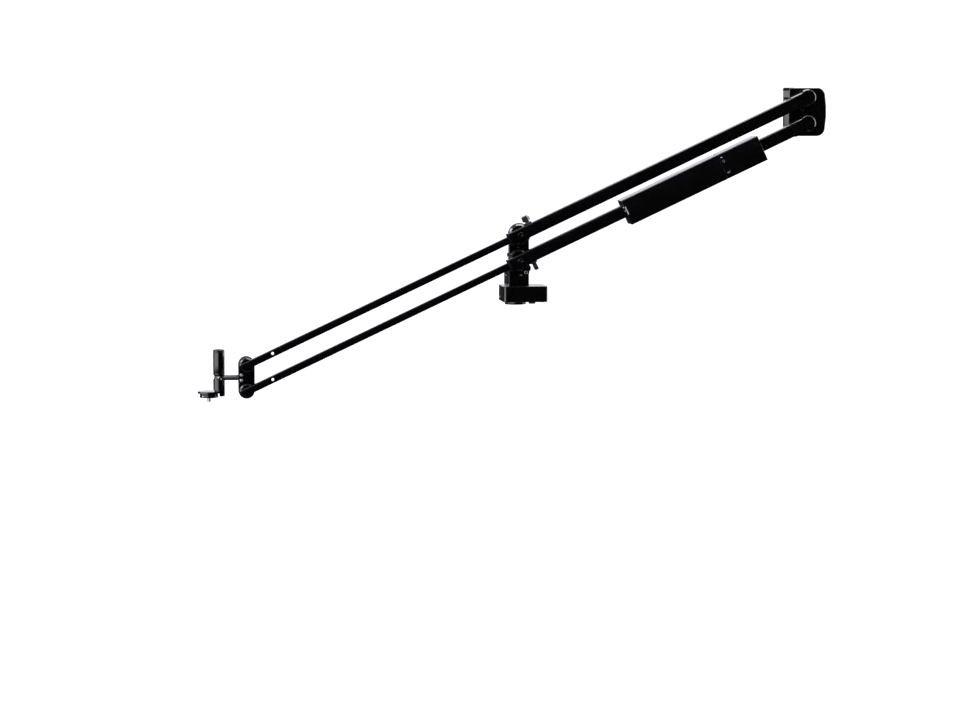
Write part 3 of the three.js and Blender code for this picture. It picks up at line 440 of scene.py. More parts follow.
def powder_coat(name):
    """Fine black powder coat: a close pebble grain over a slightly wavy skin."""
    material, tree, shader = new_material(name)
    plain = object_place(tree)
    pebble = tree.nodes.new("ShaderNodeTexVoronoi")
    pebble.feature = "SMOOTH_F1"
    pebble.inputs["Scale"].default_value = 1300.0
    pebble.inputs["Smoothness"].default_value = 0.6
    tree.links.new(plain, pebble.inputs["Vector"])
    cloud = noise(tree, plain, scale=22.0, detail=3.0, rough=0.5)
    tone = blend_colours(tree, cloud, (0.0006, 0.0006, 0.0007), (0.0013, 0.0013, 0.0015))
    roughness = spread(tree, cloud, 0.16, 0.22)
    set_surface(tree, shader, tone, roughness, 0.45, pebble.outputs["Distance"], 8 * MICRON)
    return material


def moulded_plastic(name, dark, light, rough, gloss):
    """Moulded plastic or rubber with a spark-eroded grain and greyer high spots."""
    material, tree, shader = new_material(name)
    plain = object_place(tree)
    grain = noise(tree, plain, scale=1500.0)
    cloud = noise(tree, plain, scale=60.0, detail=3.0, rough=0.6)
    tone = blend_colours(tree, cloud, dark, light)
    roughness = spread(tree, cloud, rough, rough + 0.12)
    set_surface(tree, shader, tone, roughness, gloss, grain, 30 * MICRON)
    return material


def turned_metal(name, dark, light, rough, stretch=(1, 1, 1), scale=900.0):
    """Bare metal with fine lathe or drawing marks and a faint dull bloom."""
    material, tree, shader = new_material(name)
    plain = object_place(tree)
    marks = noise(tree, object_place(tree, stretch=stretch), scale, detail=3.0, rough=0.6)
    bloom = noise(tree, plain, scale=45.0, detail=4.0, rough=0.6)
    shader.inputs["Metallic"].default_value = 1.0
    tone = blend_colours(tree, bloom, dark, light)
    broad = spread(tree, bloom, -0.04, 0.08)
    roughness = combine(tree, "ADD", spread(tree, marks, rough - 0.06, rough + 0.06), broad)
    set_surface(tree, shader, tone, roughness, 0.5, marks, 8 * MICRON)
    return material


BLACK = (0.0005, 0.0005, 0.0006)
BLACK_LIGHT = (0.0012, 0.0012, 0.0014)
PLASTIC = BLACK_LIGHT
PLASTIC_LIGHT = (0.0026, 0.0026, 0.003)
RUBBED = (0.003, 0.003, 0.0033)
RUBBED_LIGHT = (0.008, 0.008, 0.009)
# Tones of the pale plastic that paints a highlight.
HIGHLIGHT_TONE = (0.2, 0.2, 0.2)
HIGHLIGHT_TONE_LIGHT = (0.28, 0.28, 0.28)
STEEL = (0.42, 0.42, 0.425)
STEEL_LIGHT = (0.58, 0.58, 0.585)
RAW_STEEL = (0.14, 0.14, 0.145)
RAW_STEEL_LIGHT = (0.26, 0.26, 0.27)
BRIGHT = (0.75, 0.75, 0.76)
BRIGHT_LIGHT = (0.9, 0.9, 0.91)
DRAWN = (0.1, 0.1, 0.098)
DRAWN_LIGHT = (0.16, 0.16, 0.157)
BRONZE = (0.34, 0.21, 0.09)
BRONZE_LIGHT = (0.5, 0.33, 0.15)
DRAWN_MARKS = (0.02, 1, 1)

FINISHES = {
    "black_anodised": anodised("black_anodised", BLACK, BLACK_LIGHT, 0.12, wear=0.012),
    "black_tube": anodised(
        "black_tube", BLACK, BLACK_LIGHT, 0.13, wear=0.01, turn=(0, TILT, 0), stretch=DRAWN_MARKS
    ),
    "black_casing": powder_coat("black_casing"),
    "black_plastic": moulded_plastic("black_plastic", PLASTIC, PLASTIC_LIGHT, rough=0.4, gloss=0.4),
    "satin_steel": turned_metal("satin_steel", STEEL, STEEL_LIGHT, 0.42, stretch=(1, 0.1, 0.1)),
    "bronze": turned_metal("bronze", BRONZE, BRONZE_LIGHT, 0.35),
    "bare_steel": turned_metal(
        "bare_steel", RAW_STEEL, RAW_STEEL_LIGHT, 0.5, stretch=(1, 1, 0.05), scale=600.0
    ),
}
DARK_ROD = turned_metal("drawn_rod", DRAWN, DRAWN_LIGHT, 0.5, stretch=DRAWN_MARKS)
BRIGHT_STEEL = turned_metal("bright_steel", BRIGHT, BRIGHT_LIGHT, 0.36)
RUBBER = moulded_plastic("matt_rubber", PLASTIC, PLASTIC_LIGHT, rough=0.85, gloss=0.05)
# A pale plastic that paints a highlight on the counterweight box's corner.
HIGHLIGHT_PLASTIC = moulded_plastic("painted_highlight_plastic", HIGHLIGHT_TONE, HIGHLIGHT_TONE_LIGHT, rough=0.5, gloss=0.3)
EDGE = machined_edge("black_anodised_edge", 0.11)
SOFT_EDGE = anodised("rubbed_edge", RUBBED, RUBBED_LIGHT, 0.22, wear=0.3)


# Meshes

JOIN_DISTANCE = 0.000002
POLE_DISTANCE = 0.0000001
FLAT_ANGLE = math.radians(0.6)
EDGE_ANGLE = math.radians(33)


def make_piece(name, mesh, body, stands_for=()):
    """Links a finished mesh as a piece that rides on a body and takes a record slot's finish."""
    piece = new_object(name, mesh)
    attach(piece, body)
    if stands_for:
        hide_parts(*stands_for)
    return piece


def merged_copy(node):
    """A copy of a CAD node's mesh with its loose corners joined and its flat faces made whole."""
    mesh = NODES[node].data.copy()
    mesh.materials.clear()
    work = bmesh.new()
    work.from_mesh(mesh)
    bmesh.ops.remove_doubles(work, verts=work.verts, dist=JOIN_DISTANCE)
    bmesh.ops.dissolve_limit(
        work, angle_limit=FLAT_ANGLE, verts=work.verts, edges=work.edges, delimit={"NORMAL"}
    )
    work.to_mesh(mesh)
    work.free()
    return mesh


def refine(node, width):
    """Replaces a CAD node by its merged copy with small rounded edges that show a rubbed finish."""
    mesh = merged_copy(node)
    slot = SLOT_OF[node]
    mesh.materials.append(FINISHES[slot])
    mesh.materials.append(SOFT_EDGE if slot.startswith("black") else FINISHES[slot])
    mesh.shade_smooth()
    mesh.set_sharp_from_angle(angle=EDGE_ANGLE)
    piece = make_piece(node + "_skin", mesh, BODY_OF[node], (node,))
    bevel = piece.modifiers.new("edge", "BEVEL")
    bevel.width = width * MM
    bevel.segments = 2
    bevel.limit_method = "ANGLE"
    bevel.angle_limit = EDGE_ANGLE
    bevel.harden_normals = True
    bevel.material = 1
    bevel.use_clamp_overlap = True


def surface(name, grid, finishes, parts=None, caps=False, sharp=30):
    """A mesh from a grid of points, rows round an axis and columns along a profile.

    Each square of the grid is one face, and the last row joins the first. Points that fall
    together on the axis become one, so poles are closed. With caps, the first and the last
    column are closed by one flat face each. Parts gives the finish of each column of squares.
    """
    rows, columns, _ = grid.shape
    index = np.arange(rows * columns).reshape(rows, columns)
    following = np.roll(index, -1, 0)
    squares = np.stack(
        [index[:, :-1], index[:, 1:], following[:, 1:], following[:, :-1]], -1
    ).reshape(-1, 4)
    faces = squares.tolist()
    chosen = np.zeros((rows, columns - 1), np.int32)
    if parts is not None:
        chosen[:] = parts
    chosen = chosen.ravel()
    if caps:
        faces += [index[:, 0].tolist(), index[::-1, -1].tolist()]
        chosen = np.append(chosen, (0, 0))
    mesh = bpy.data.meshes.new(name)
    mesh.from_pydata(grid.reshape(-1, 3).tolist(), [], faces)
    for finish in finishes:
        mesh.materials.append(finish)
    mesh.polygons.foreach_set("material_index", chosen)
    work = bmesh.new()
    work.from_mesh(mesh)
    bmesh.ops.remove_doubles(work, verts=work.verts, dist=POLE_DISTANCE)
    bmesh.ops.recalc_face_normals(work, faces=work.faces)
    work.to_mesh(mesh)
    work.free()
    mesh.shade_smooth()
    mesh.set_sharp_from_angle(angle=math.radians(sharp))
    return mesh


def add_surface(name, grid, finishes, body, slot, stands_for=(), **shape):
    """A piece made from a grid of points."""
    make_piece(name, surface(name, grid, finishes, **shape), body, stands_for)


def cross_axes(axis):
    """Two unit vectors square to an axis and to each other."""
    axis = np.asarray(axis, float)
    other = UP if abs(axis[2]) < 0.9 else ALONG
    first = np.cross(other, axis)
    first /= np.linalg.norm(first)
    return first, np.cross(axis, first)


def turned_grid(profile, centre, axis, sides=48, ripple=None):
    """A profile of (radius, height) pairs turned about an axis through a centre.

    Each point is centre + radius * (cos a, sin a) + height * axis. A ripple, when given, is a
    function of the angle and the profile's column that scales the radius.
    """
    profile = np.asarray(profile, float) * MM
    turns = np.linspace(0, 2 * math.pi, sides, endpoint=False)
    first, second = cross_axes(axis)
    radius = np.broadcast_to(profile[:, 0], (sides, len(profile))).copy()
    if ripple is not None:
        radius *= ripple(turns[:, None], np.arange(len(profile))[None, :])
    ring = np.cos(turns)[:, None, None] * first + np.sin(turns)[:, None, None] * second
    height = profile[:, 1][None, :, None] * np.asarray(axis, float)
    return np.asarray(centre, float) + ring * radius[..., None] + height


def rounded(profile, radius, steps=4):
    """The profile with each inner corner replaced by a short round of a given radius.

    The round is a quadratic curve. It starts and ends as far from the corner as the radius, or a
    third of the shorter side.
    """
    points = np.asarray(profile, float)
    made = [points[:1]]
    share = np.linspace(0, 1, steps + 1)[:, None]
    for before, corner, after in zip(points[:-2], points[1:-1], points[2:]):
        side, next_side = np.linalg.norm(corner - before), np.linalg.norm(after - corner)
        reach = min(radius, side / 3, next_side / 3)
        start = corner + (before - corner) / side * reach
        end = corner + (after - corner) / next_side * reach
        made.append((1 - share) ** 2 * start + 2 * share * (1 - share) * corner + share**2 * end)
    made.append(points[-1:])
    return np.concatenate(made)


def turned_piece(
    name, profile, centre, axis, body, slot, stands_for=(),
    bright=None, sides=72, round_by=0.3, finish=None,
):
    """A turned piece with softly rounded edges.

    The profile runs in millimetres of radius and height. Where bright is given, the parts of the
    profile that lean and lie between those two heights show the cut edge.
    """
    curve = rounded(profile, round_by)
    parts = None
    if bright is not None:
        height = (curve[1:, 1] + curve[:-1, 1]) / 2
        inside = (height > bright[0]) & (height < bright[1])
        across, rise = np.abs(np.diff(curve, axis=0)).T
        parts = (inside & (across > 0.2 * rise) & (rise > 0.2 * across)).astype(np.int32)
    grid = turned_grid(curve, centre, axis, sides)
    finishes = [finish or FINISHES[slot], EDGE]
    add_surface(name, grid, finishes, body, slot, stands_for, parts=parts)


def offset_outline(outline, inset):
    """A closed outline moved inwards: each corner goes along the mean of its sides' normals."""
    before = outline - np.roll(outline, 1, 0)
    after = np.roll(outline, -1, 0) - outline
    before /= np.linalg.norm(before, axis=1)[:, None]
    after /= np.linalg.norm(after, axis=1)[:, None]
    mean = before + after
    mean /= np.linalg.norm(mean, axis=1)[:, None]
    outward = np.stack([mean[:, 1], -mean[:, 0]], 1)
    reach = inset / np.maximum((mean * before).sum(1), 0.3)
    return outline - outward * reach[:, None]


def outline_grid(outline, steps, origin, first, second, normal):
    """An outline in columns along a normal, each moved inwards and lifted by its step's two sizes."""
    columns = [
        np.concatenate([offset_outline(outline, inset), np.full((len(outline), 1), height)], 1)
        for inset, height in steps
    ]
    grid = np.stack(columns, 1) * MM
    axes = np.stack([first, second, normal])
    return np.asarray(origin, float) + grid @ axes


def arc(x, y, radius, start, end, count):
    """Points on an arc between two angles in degrees, both ends included."""
    turns = np.radians(np.linspace(start, end, count))
    return np.stack([x + radius * np.cos(turns), y + radius * np.sin(turns)], 1)


def hexagon(columns):
    """A ripple that makes the given columns of a profile six-sided."""

    def ripple(turns, column):
        off = np.mod(turns, math.pi / 3) - math.pi / 6
        return np.where(np.isin(column, columns), 1 / np.cos(off), 1.0)

    return ripple


def socket_screw(name, centre, axis, radius, height, body, sink=0.6, stands_for=(), flat=0.74):
    """A steel screw head with a rounded rim and a six-sided socket. The axis points out of its face.

    The rim is a quarter of an ellipse from the side to where the flat share of the head begins.
    """
    wrench = radius * min(0.46, flat - 0.08)
    turn = np.radians(np.linspace(0, 90, 6))
    across = radius * (flat + (1 - flat) * np.cos(turn))
    rim = np.stack([across, height * (0.45 + 0.55 * np.sin(turn))], 1)
    profile = [(0.0, -sink), (radius, -sink), *rim.tolist()]
    profile += [(wrench * 1.12, height), (wrench, height * 0.8), (wrench, height * 0.1), (0.0, 0.0)]
    count = len(profile)
    grid = turned_grid(profile, centre, axis, 48, hexagon([count - 2, count - 3]))
    add_surface(name, grid, [FINISHES["satin_steel"]], body, "satin_steel", stands_for)


def small_plate(name, centre, first, second, length, width, height, body, slot, finish=None):
    """A low plate with rounded corners and edges, raised on the face that its two axes span."""
    corner = min(length, width) * 0.3
    x, y = length / 2 - corner, width / 2 - corner
    corners = ((x, y, 0), (-x, y, 90), (-x, -y, 180), (x, -y, 270))
    outline = np.concatenate([arc(*place, corner, turn, turn + 90, 5) for *place, turn in corners])
    steps = [(0, -0.3), (0, height * 0.5), (0.15, height)]
    grid = outline_grid(outline, steps, centre, first, second, np.cross(first, second))
    add_surface(name, grid, [finish or FINISHES[slot]], body, slot, caps=True)


def wire_arc(name, centre, first, second, radius, wire, start, end, body, slot):
    """A round wire bent to an arc: the section's circle carried along an arc of the two axes."""
    turns = np.radians(np.linspace(start, end, 25))[None, :, None]
    section = np.linspace(0, 2 * math.pi, 13)[:-1][:, None, None]
    outward = np.cos(turns) * np.asarray(first) + np.sin(turns) * np.asarray(second)
    reach = (radius + wire * np.cos(section)) * MM
    grid = centre + outward * reach + np.sin(section) * wire * MM * np.cross(first, second)
    add_surface(name, grid, [FINISHES[slot]], body, slot, caps=True, sharp=60)


# Skins of the CAD pieces

EDGE_WIDTHS = (
    (0.8, "base_housing"),
    (0.4, "base_cover"),
    (0.35, "column_plate"),
    (0.5, "column_block pivot_pinch_screw brake_shoe"),
    (0.8, "tilt_lock_knob"),
    (0.5, "lower_rear_tube upper_rear_tube"),
    (0.4, "lower_front_tube upper_front_tube lower_guide_bush upper_guide_bush"),
    (0.5, "lower_clamp_key upper_clamp_key"),
    (0.4, "lower_front_end upper_front_end front_link_plate handle_body"),
    (0.5, "mount_flange front_weight_shell rear_weight_shell"),
    (0.4, "front_weight_guide rear_weight_guide"),
    (0.8, "weight_lock_knob rear_housing"),
    (0.5, "rear_cover"),
)


def make_skins():
    """Every sawn or moulded piece that shows gets small rounded edges with a rubbed finish."""
    for width, nodes in EDGE_WIDTHS:
        for node in nodes.split():
            refine(node, width)


def face_values(mesh, name, width):
    """One value of every face of a mesh, such as its normal, as rows of an array."""
    values = np.zeros(len(mesh.polygons) * width)
    mesh.polygons.foreach_get(name, values)
    return values.reshape(-1, width)


def dull_faces(name, chosen=None):
    """Makes faces of one object dull: those whose normals pass the test, or all without one."""
    mesh = bpy.data.objects[name].data
    mesh.materials.append(RUBBER)
    slots = np.zeros(len(mesh.polygons), dtype=np.int32)
    mesh.polygons.foreach_get("material_index", slots)
    passed = slice(None) if chosen is None else chosen(face_values(mesh, "normal", 3))
    slots[passed] = len(mesh.materials) - 1
    mesh.polygons.foreach_set("material_index", slots)


def dull_rims():
    """Dulls the front link plate's sawn rim, the rear tubes' sawn mouths and both guide bushes."""
    dull_faces("front_link_plate_skin", lambda normals: np.abs(normals[:, 1]) < 0.9)
    for name in ("upper", "lower"):
        dull_faces(name + "_rear_tube_skin", lambda normals: normals @ ARM < -0.6)
        dull_faces(name + "_guide_bush_skin")


KEY_GLINT_REACH = 5.2
KEY_GLINT_SIZE = (7.0, 12.6, 0.3)


def make_key_glint_plates():
    """A bright steel plate on both broad faces of each clamp key's blade, towards its right or far end, that
    paints the highlight on the key's side.

    The broad faces are the two largest ones that stand square to the arm's top.
    """
    for side in ("upper", "lower"):
        mesh = bpy.data.objects[side + "_clamp_key_skin"].data
        normals, centres = face_values(mesh, "normal", 3), face_values(mesh, "center", 3)
        areas = face_values(mesh, "area", 1)[:, 0]
        level = np.flatnonzero(np.abs(normals @ ARM_UP) < 0.1)
        broad = level[np.argsort(areas[level])[-2:]]
        for number, face in enumerate(broad):
            normal = normals[face]
            long_way = np.cross(ARM_UP, normal)
            long_way *= 1.0 if (long_way @ (ARM + ACROSS)) > 0 else -1.0
            place = centres[face] + long_way * KEY_GLINT_REACH * MM
            second = np.cross(normal, long_way)
            # Each bright steel plate paints the highlight on the key's side.
            small_plate(
                f"{side}_key_glint_plate_{number}", place, long_way, second, *KEY_GLINT_SIZE, side + "_key",
                "satin_steel", BRIGHT_STEEL,
            )


def finish_inner_nodes():
    """Every CAD piece takes its slot's finish. It shows on those that nothing stands for."""
    for node, thing in NODES.items():
        thing.data.materials.clear()
        thing.data.materials.append(FINISHES[SLOT_OF[node]])


# Turned pieces, at the size of their CAD nodes. Their profiles are in millimetres

PLAY = 0.3

AXLE_RADIUS = 8
HUB_FACE = 21
HUB_SHOULDER = 25
HUB_RADIUS = 27
HUB_BEVEL = 4
NUT_RADIUS = 14
NUT_CHAMFER = 1
NUT_GROOVE = (7.5, 9.5)
NUT_GROOVE_DEPTH = 0.6
NUT_GROOVE_SLOPE = 0.5

PIN_RADIUS = 4.5
PIN_FOOT_RADIUS = 6
FLANGE_BEHIND_END = 14.3
FLANGE_FACE = 14.4
FLANGE_BEVEL = 1.8
FLANGE_RADIUS = 17.5

EYE_SHOULDER = -38.6
EYE_HALF = 17.0
EYE_RADIUS = 19.5
EYE_CUT = ((2.6, 0), (2.3, 0.1), (0.2, 2.2), (0, 2.6))

GRIP_BORE = 8.3
GRIP_RADIUS = 13.5
GRIP_EDGE = 0.4
GROOVE_INSET = 3.0
CAP_STEM_RADIUS = 8
CAP_DEPTH = 4.5
DOME = ((GRIP_RADIUS, 3), (12.6, 1.9), (10, 1.1), (7.5, 0.5), (5, 0.15), (2.5, 0), (0, 0))
WAIST_BORE = 9
WAIST_RADIUS = 11.1
WAIST_FOOT = -1
WAIST_TOP = 4.6
WAIST_SLOPE = 0.2
ROD_RADIUS = 6.35
ROD_FACE = 5.6
ROD_CHAMFER = 0.8

RING_RADIUS = 21.7
RING_CHAMFER = 1
RING_GROOVE = 4.5
RING_BORE = 5
RING_BORE_DEPTH = 8.3
RING_SPINDLE_RADIUS = 9
RING_SPINDLE_HEIGHT = 3

DISC_BORE = 8.3
DISC_RADIUS = 25
DISC_HEIGHT = 7
DISC_CHAMFER = 0.6
DISC_GROOVE = 2.2
DISC_GROOVE_DEPTH = 0.4
PAN_SPINDLE_RADIUS = 13
WHEEL_RADIUS = 8
WHEEL_STEM_RADIUS = 3
WHEEL_FOOT = 0.8
WHEEL_TOP = 7
WHEEL_CHAMFER = 0.8
WHEEL_FLUTES = 16
FLUTE_SHARE = 0.03
FLUTE_START = 6.5


def turned_node(name, node, profile, centre, axis, **looks):
    """A turned piece that stands for a CAD node, with the node's body and finish."""
    turned_piece(name, profile, centre, axis, BODY_OF[node], SLOT_OF[node], (node,), **looks)


def make_pivot_hubs():
    """Both bevelled hubs with their axles, and the nuts with a ring groove behind the plate."""
    back = near_face("column_plate") - PLAY
    for name, pivot in (("lower", LOWER_PIVOT), ("upper", UPPER_PIVOT)):
        node = name + "_pivot_hub"
        front, tip = near_face(node), far_face(node)
        shoulder = front + HUB_BEVEL
        axle = np.array([pivot[0], 0.0, pivot[2]])
        profile = [(0, front), (HUB_FACE, front), (HUB_SHOULDER, shoulder), (HUB_RADIUS, shoulder)]
        profile += [(HUB_RADIUS, back), (AXLE_RADIUS, back), (AXLE_RADIUS, tip), (0, tip)]
        turned_node(
            node + "_turned", node, profile, axle, ACROSS,
            bright=(front, shoulder), sides=96, round_by=0.4,
        )
        nut = name + "_pivot_nut"
        foot, cap = near_face(nut), far_face(nut)
        bore = AXLE_RADIUS + PLAY
        inside, outside = NUT_GROOVE
        floor = cap - NUT_GROOVE_DEPTH
        profile = [(bore, foot), (NUT_RADIUS, foot), (NUT_RADIUS, cap - NUT_CHAMFER)]
        profile += [(NUT_RADIUS - NUT_CHAMFER, cap), (outside, cap)]
        profile += [(outside - NUT_GROOVE_SLOPE, floor), (inside + NUT_GROOVE_SLOPE, floor)]
        profile += [(inside, cap), (0, cap)]
        profile += [(0, tip + PLAY), (bore, tip + PLAY), (bore, foot)]
        turned_node(nut + "_turned", nut, profile, axle, ACROSS, sides=96)


def make_link_pins():
    """The flanged pins of the front link."""
    back = near_face("front_link_plate") - PLAY
    front = near_face("lower_front_end") + FLANGE_BEHIND_END
    shoulder = front + FLANGE_BEVEL
    for name in ("lower", "upper"):
        node = name + "_front_pin"
        axle = middle(node) * (1, 0, 1)
        foot, tip = near_face(node), far_face(node)
        profile = [(0, foot), (PIN_RADIUS, foot), (PIN_RADIUS, front), (FLANGE_FACE, front)]
        profile += [(FLANGE_FACE + FLANGE_BEVEL, shoulder), (FLANGE_RADIUS, shoulder)]
        profile += [(FLANGE_RADIUS, back), (PIN_FOOT_RADIUS, back), (PIN_FOOT_RADIUS, tip), (0, tip)]
        bright = (front, shoulder + 0.1)
        turned_node(node + "_turned", node, profile, axle, ACROSS, bright=bright, sides=96)


def make_rear_eyes():
    """Rear eyes: a sleeve that meets a round eye, with one bevel cut round each broad face.

    Only the near bevel has the cut finish, and not at the shoulder.
    """
    blend = math.degrees(math.asin(EYE_HALF / EYE_RADIUS))
    inner = EYE_SHOULDER + 0.5
    for name, pivot in (("lower", REAR_PIVOT), ("upper", REAR_PIVOT + UPPER_PIVOT - LOWER_PIVOT)):
        node = name + "_rear_eye"
        outline = np.concatenate(
            [
                [[EYE_SHOULDER, -EYE_HALF], [inner, -EYE_HALF]],
                arc(0, 0, EYE_RADIUS, blend - 180, 180 - blend, 61),
                [[inner, EYE_HALF], [EYE_SHOULDER, EYE_HALF]],
            ]
        )
        steps = [(inset, near_face(node) + depth) for inset, depth in EYE_CUT]
        steps += [(inset, far_face(node) - depth) for inset, depth in EYE_CUT[::-1]]
        origin = np.array([pivot[0], 0.0, pivot[2]])
        grid = outline_grid(outline, steps, origin, ARM, ARM_UP, ACROSS)
        parts = np.zeros((len(outline), len(steps) - 1), np.int32)
        parts[2:-1, 1] = 1
        slot = SLOT_OF[node]
        add_surface(
            node + "_cut", grid, [FINISHES[slot], EDGE], BODY_OF[node], slot, (node,),
            parts=parts, caps=True, sharp=25,
        )


def make_grip():
    """The grip's sleeve with two ring grooves, its domed cap, and a ring in the handle's waist."""
    axis = middle("upper_grip") * (1, 1, 0)
    foot, top = low_face("upper_grip"), top_face("upper_grip")
    floor = GRIP_RADIUS - GRIP_EDGE
    profile = [(GRIP_BORE, foot), (floor, foot), (GRIP_RADIUS, foot + GRIP_EDGE)]
    for groove in (foot + GROOVE_INSET, top - GROOVE_INSET):
        profile += [(GRIP_RADIUS, groove - 0.5), (floor, groove - 0.3)]
        profile += [(floor, groove + 0.3), (GRIP_RADIUS, groove + 0.5)]
    profile += [(GRIP_RADIUS, top - GRIP_EDGE), (floor, top), (GRIP_BORE, top), (GRIP_BORE, foot)]
    turned_node("grip_sleeve", "upper_grip", profile, axis, UP, sides=96)

    foot, top = low_face("grip_cap"), top_face("grip_cap")
    brim = top - CAP_DEPTH
    profile = [(0, foot), (CAP_STEM_RADIUS, foot), (CAP_STEM_RADIUS, brim), (GRIP_RADIUS, brim)]
    profile += [(radius, top - drop) for radius, drop in DOME]
    turned_node("grip_dome", "grip_cap", profile, axis, UP, sides=96, round_by=0.8)

    level = middle("handle_rod")[2] / MM
    foot, top = level + WAIST_FOOT, level + WAIST_TOP
    profile = [(WAIST_BORE, foot), (WAIST_RADIUS, foot - WAIST_SLOPE)]
    profile += [(WAIST_RADIUS, top + WAIST_SLOPE), (WAIST_BORE, top), (WAIST_BORE, foot)]
    body = BODY_OF["handle_body"]
    turned_piece("waist_ring", profile, axis, UP, body, "black_anodised", sides=96, round_by=0.2)


def make_rod():
    """The drawn rod between the link plate and the handle."""
    low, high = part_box("handle_rod")
    start, end = low.x / MM, high.x / MM
    profile = [(0, start), (ROD_FACE, start), (ROD_RADIUS, start + ROD_CHAMFER)]
    profile += [(ROD_RADIUS, end - ROD_CHAMFER), (ROD_FACE, end), (0, end)]
    axis = middle("handle_rod") * (0, 1, 1)
    turned_node("drawn_handle_rod", "handle_rod", profile, axis, ALONG, finish=DARK_ROD)


def make_camera_ring():
    """The ring under the handle's flange, with its groove, spindle and the bore of the stud."""
    foot = low_face("camera_ring")
    seat = top_face("camera_ring") - RING_SPINDLE_HEIGHT
    top, ceiling = seat + RING_SPINDLE_HEIGHT, foot + RING_BORE_DEPTH
    inner, groove = RING_RADIUS - RING_CHAMFER, seat - RING_GROOVE
    profile = [(RING_BORE, foot), (inner, foot), (RING_RADIUS, foot + RING_CHAMFER)]
    profile += [(RING_RADIUS, groove - 1), (inner, groove), (inner, groove + 1)]
    profile += [(RING_RADIUS, groove + 1), (RING_RADIUS, seat - RING_CHAMFER), (inner, seat)]
    profile += [(RING_SPINDLE_RADIUS, seat), (RING_SPINDLE_RADIUS, top), (0, top), (0, ceiling)]
    profile += [(RING_BORE, ceiling), (RING_BORE, foot)]
    turned_node(
        "turned_camera_ring", "camera_ring", profile, middle("camera_ring") * (1, 1, 0), UP,
        bright=(groove - 1.1, groove + 0.1), sides=96, round_by=0.25,
    )


def make_mount_disc():
    """The round disc under the base with a shallow groove round its rim, and its spindle."""
    foot, top = low_face("tripod_mount_disc"), top_face("tripod_mount_disc")
    face, groove = foot + DISC_HEIGHT, foot + DISC_GROOVE
    inner, floor = DISC_RADIUS - DISC_CHAMFER, DISC_RADIUS - DISC_GROOVE_DEPTH
    profile = [(DISC_BORE, foot), (inner, foot), (DISC_RADIUS, foot + DISC_CHAMFER)]
    profile += [(DISC_RADIUS, groove), (floor, groove + 0.3), (floor, groove + 0.9)]
    profile += [(DISC_RADIUS, groove + 1.2)]
    profile += [(DISC_RADIUS, face - DISC_CHAMFER), (inner, face), (PAN_SPINDLE_RADIUS, face)]
    profile += [(PAN_SPINDLE_RADIUS, top), (DISC_BORE, top), (DISC_BORE, foot)]
    turned_node(
        "turned_mount_disc", "tripod_mount_disc", profile, (0, 0, 0), UP, sides=96, round_by=0.2
    )


def make_pan_wheel():
    """The wheel of the pan lock under the base, with shallow flutes round its rim."""
    node = "pan_lock_wheel"
    inner, top = WHEEL_RADIUS - WHEEL_CHAMFER, top_face(node)
    rim = [(0, WHEEL_FOOT), (inner, WHEEL_FOOT), (WHEEL_RADIUS, WHEEL_FOOT + WHEEL_CHAMFER)]
    rim += [(WHEEL_RADIUS, WHEEL_TOP - WHEEL_CHAMFER), (inner, WHEEL_TOP)]
    rim += [(WHEEL_STEM_RADIUS, WHEEL_TOP)]
    profile = np.concatenate([rounded(rim, 0.3), [(WHEEL_STEM_RADIUS, top), (0, top)]])

    def ripple(turns, column):
        flute = 1 - FLUTE_SHARE * (1 + np.cos(WHEEL_FLUTES * turns))
        return np.where(profile[column, 0] > FLUTE_START, flute, 1.0)

    grid = turned_grid(profile, middle(node) * (1, 0, 0), UP, 128, ripple)
    slot = SLOT_OF[node]
    add_surface("pan_wheel", grid, [FINISHES[slot]], BODY_OF[node], slot, (node,))


# Fasteners and trim, in millimetres

def low_disc(name, centre, radius, height, body, slot="black_anodised", axis=NEAR):
    """A low round cap or plug with a rounded rim and a shallow dish."""
    profile = [(0, -0.5), (radius, -0.5), (radius, height * 0.6), (radius - 0.5, height)]
    profile += [(radius * 0.6, height), (radius * 0.45, height * 0.6), (0, height * 0.5)]
    turned_piece(name, profile, centre, axis, body, slot, round_by=0.4, sides=48)


def knob_cap(name, node, radius):
    """A steel cap on the far end of a lock knob."""
    place = middle(node) * (1, 0, 1) + ACROSS * far_face(node) * MM
    low_disc(name, place, radius, 0.8, BODY_OF[node], "satin_steel", ACROSS)


def make_column_details():
    """Pivot caps on the tubes, and the small screws on the plate, hubs and shoe."""
    tube = near_face("lower_rear_tube")
    plate = near_face("column_plate")
    hub = near_face("lower_pivot_hub")
    for name, pivot in (("lower", LOWER_PIVOT), ("upper", UPPER_PIVOT)):
        body = name + "_arm"
        low_disc(name + "_pivot_cap", beside(pivot, 0, 0, tube), radius=6.0, height=1.0, body=body)
        low_disc(name + "_hub_plug", beside(pivot, 8, -16.8, hub), radius=2.4, height=0.5, body=body)
    plug = beside(LOWER_PIVOT, -1.2, 30.0, plate)
    low_disc("plate_plug", plug, radius=2.6, height=0.6, body="pan_head")
    stop = beside(LOWER_PIVOT, 5.9, -35.6, plate)
    socket_screw("shoe_stop_screw", stop, NEAR, radius=1.9, height=0.8, body="pan_head")
    edge = (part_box("column_plate")[0].x, (plate + 7) * MM, LOWER_PIVOT[2])
    socket_screw("plate_edge_screw", edge, -ALONG, radius=2.4, height=1.4, body="pan_head")


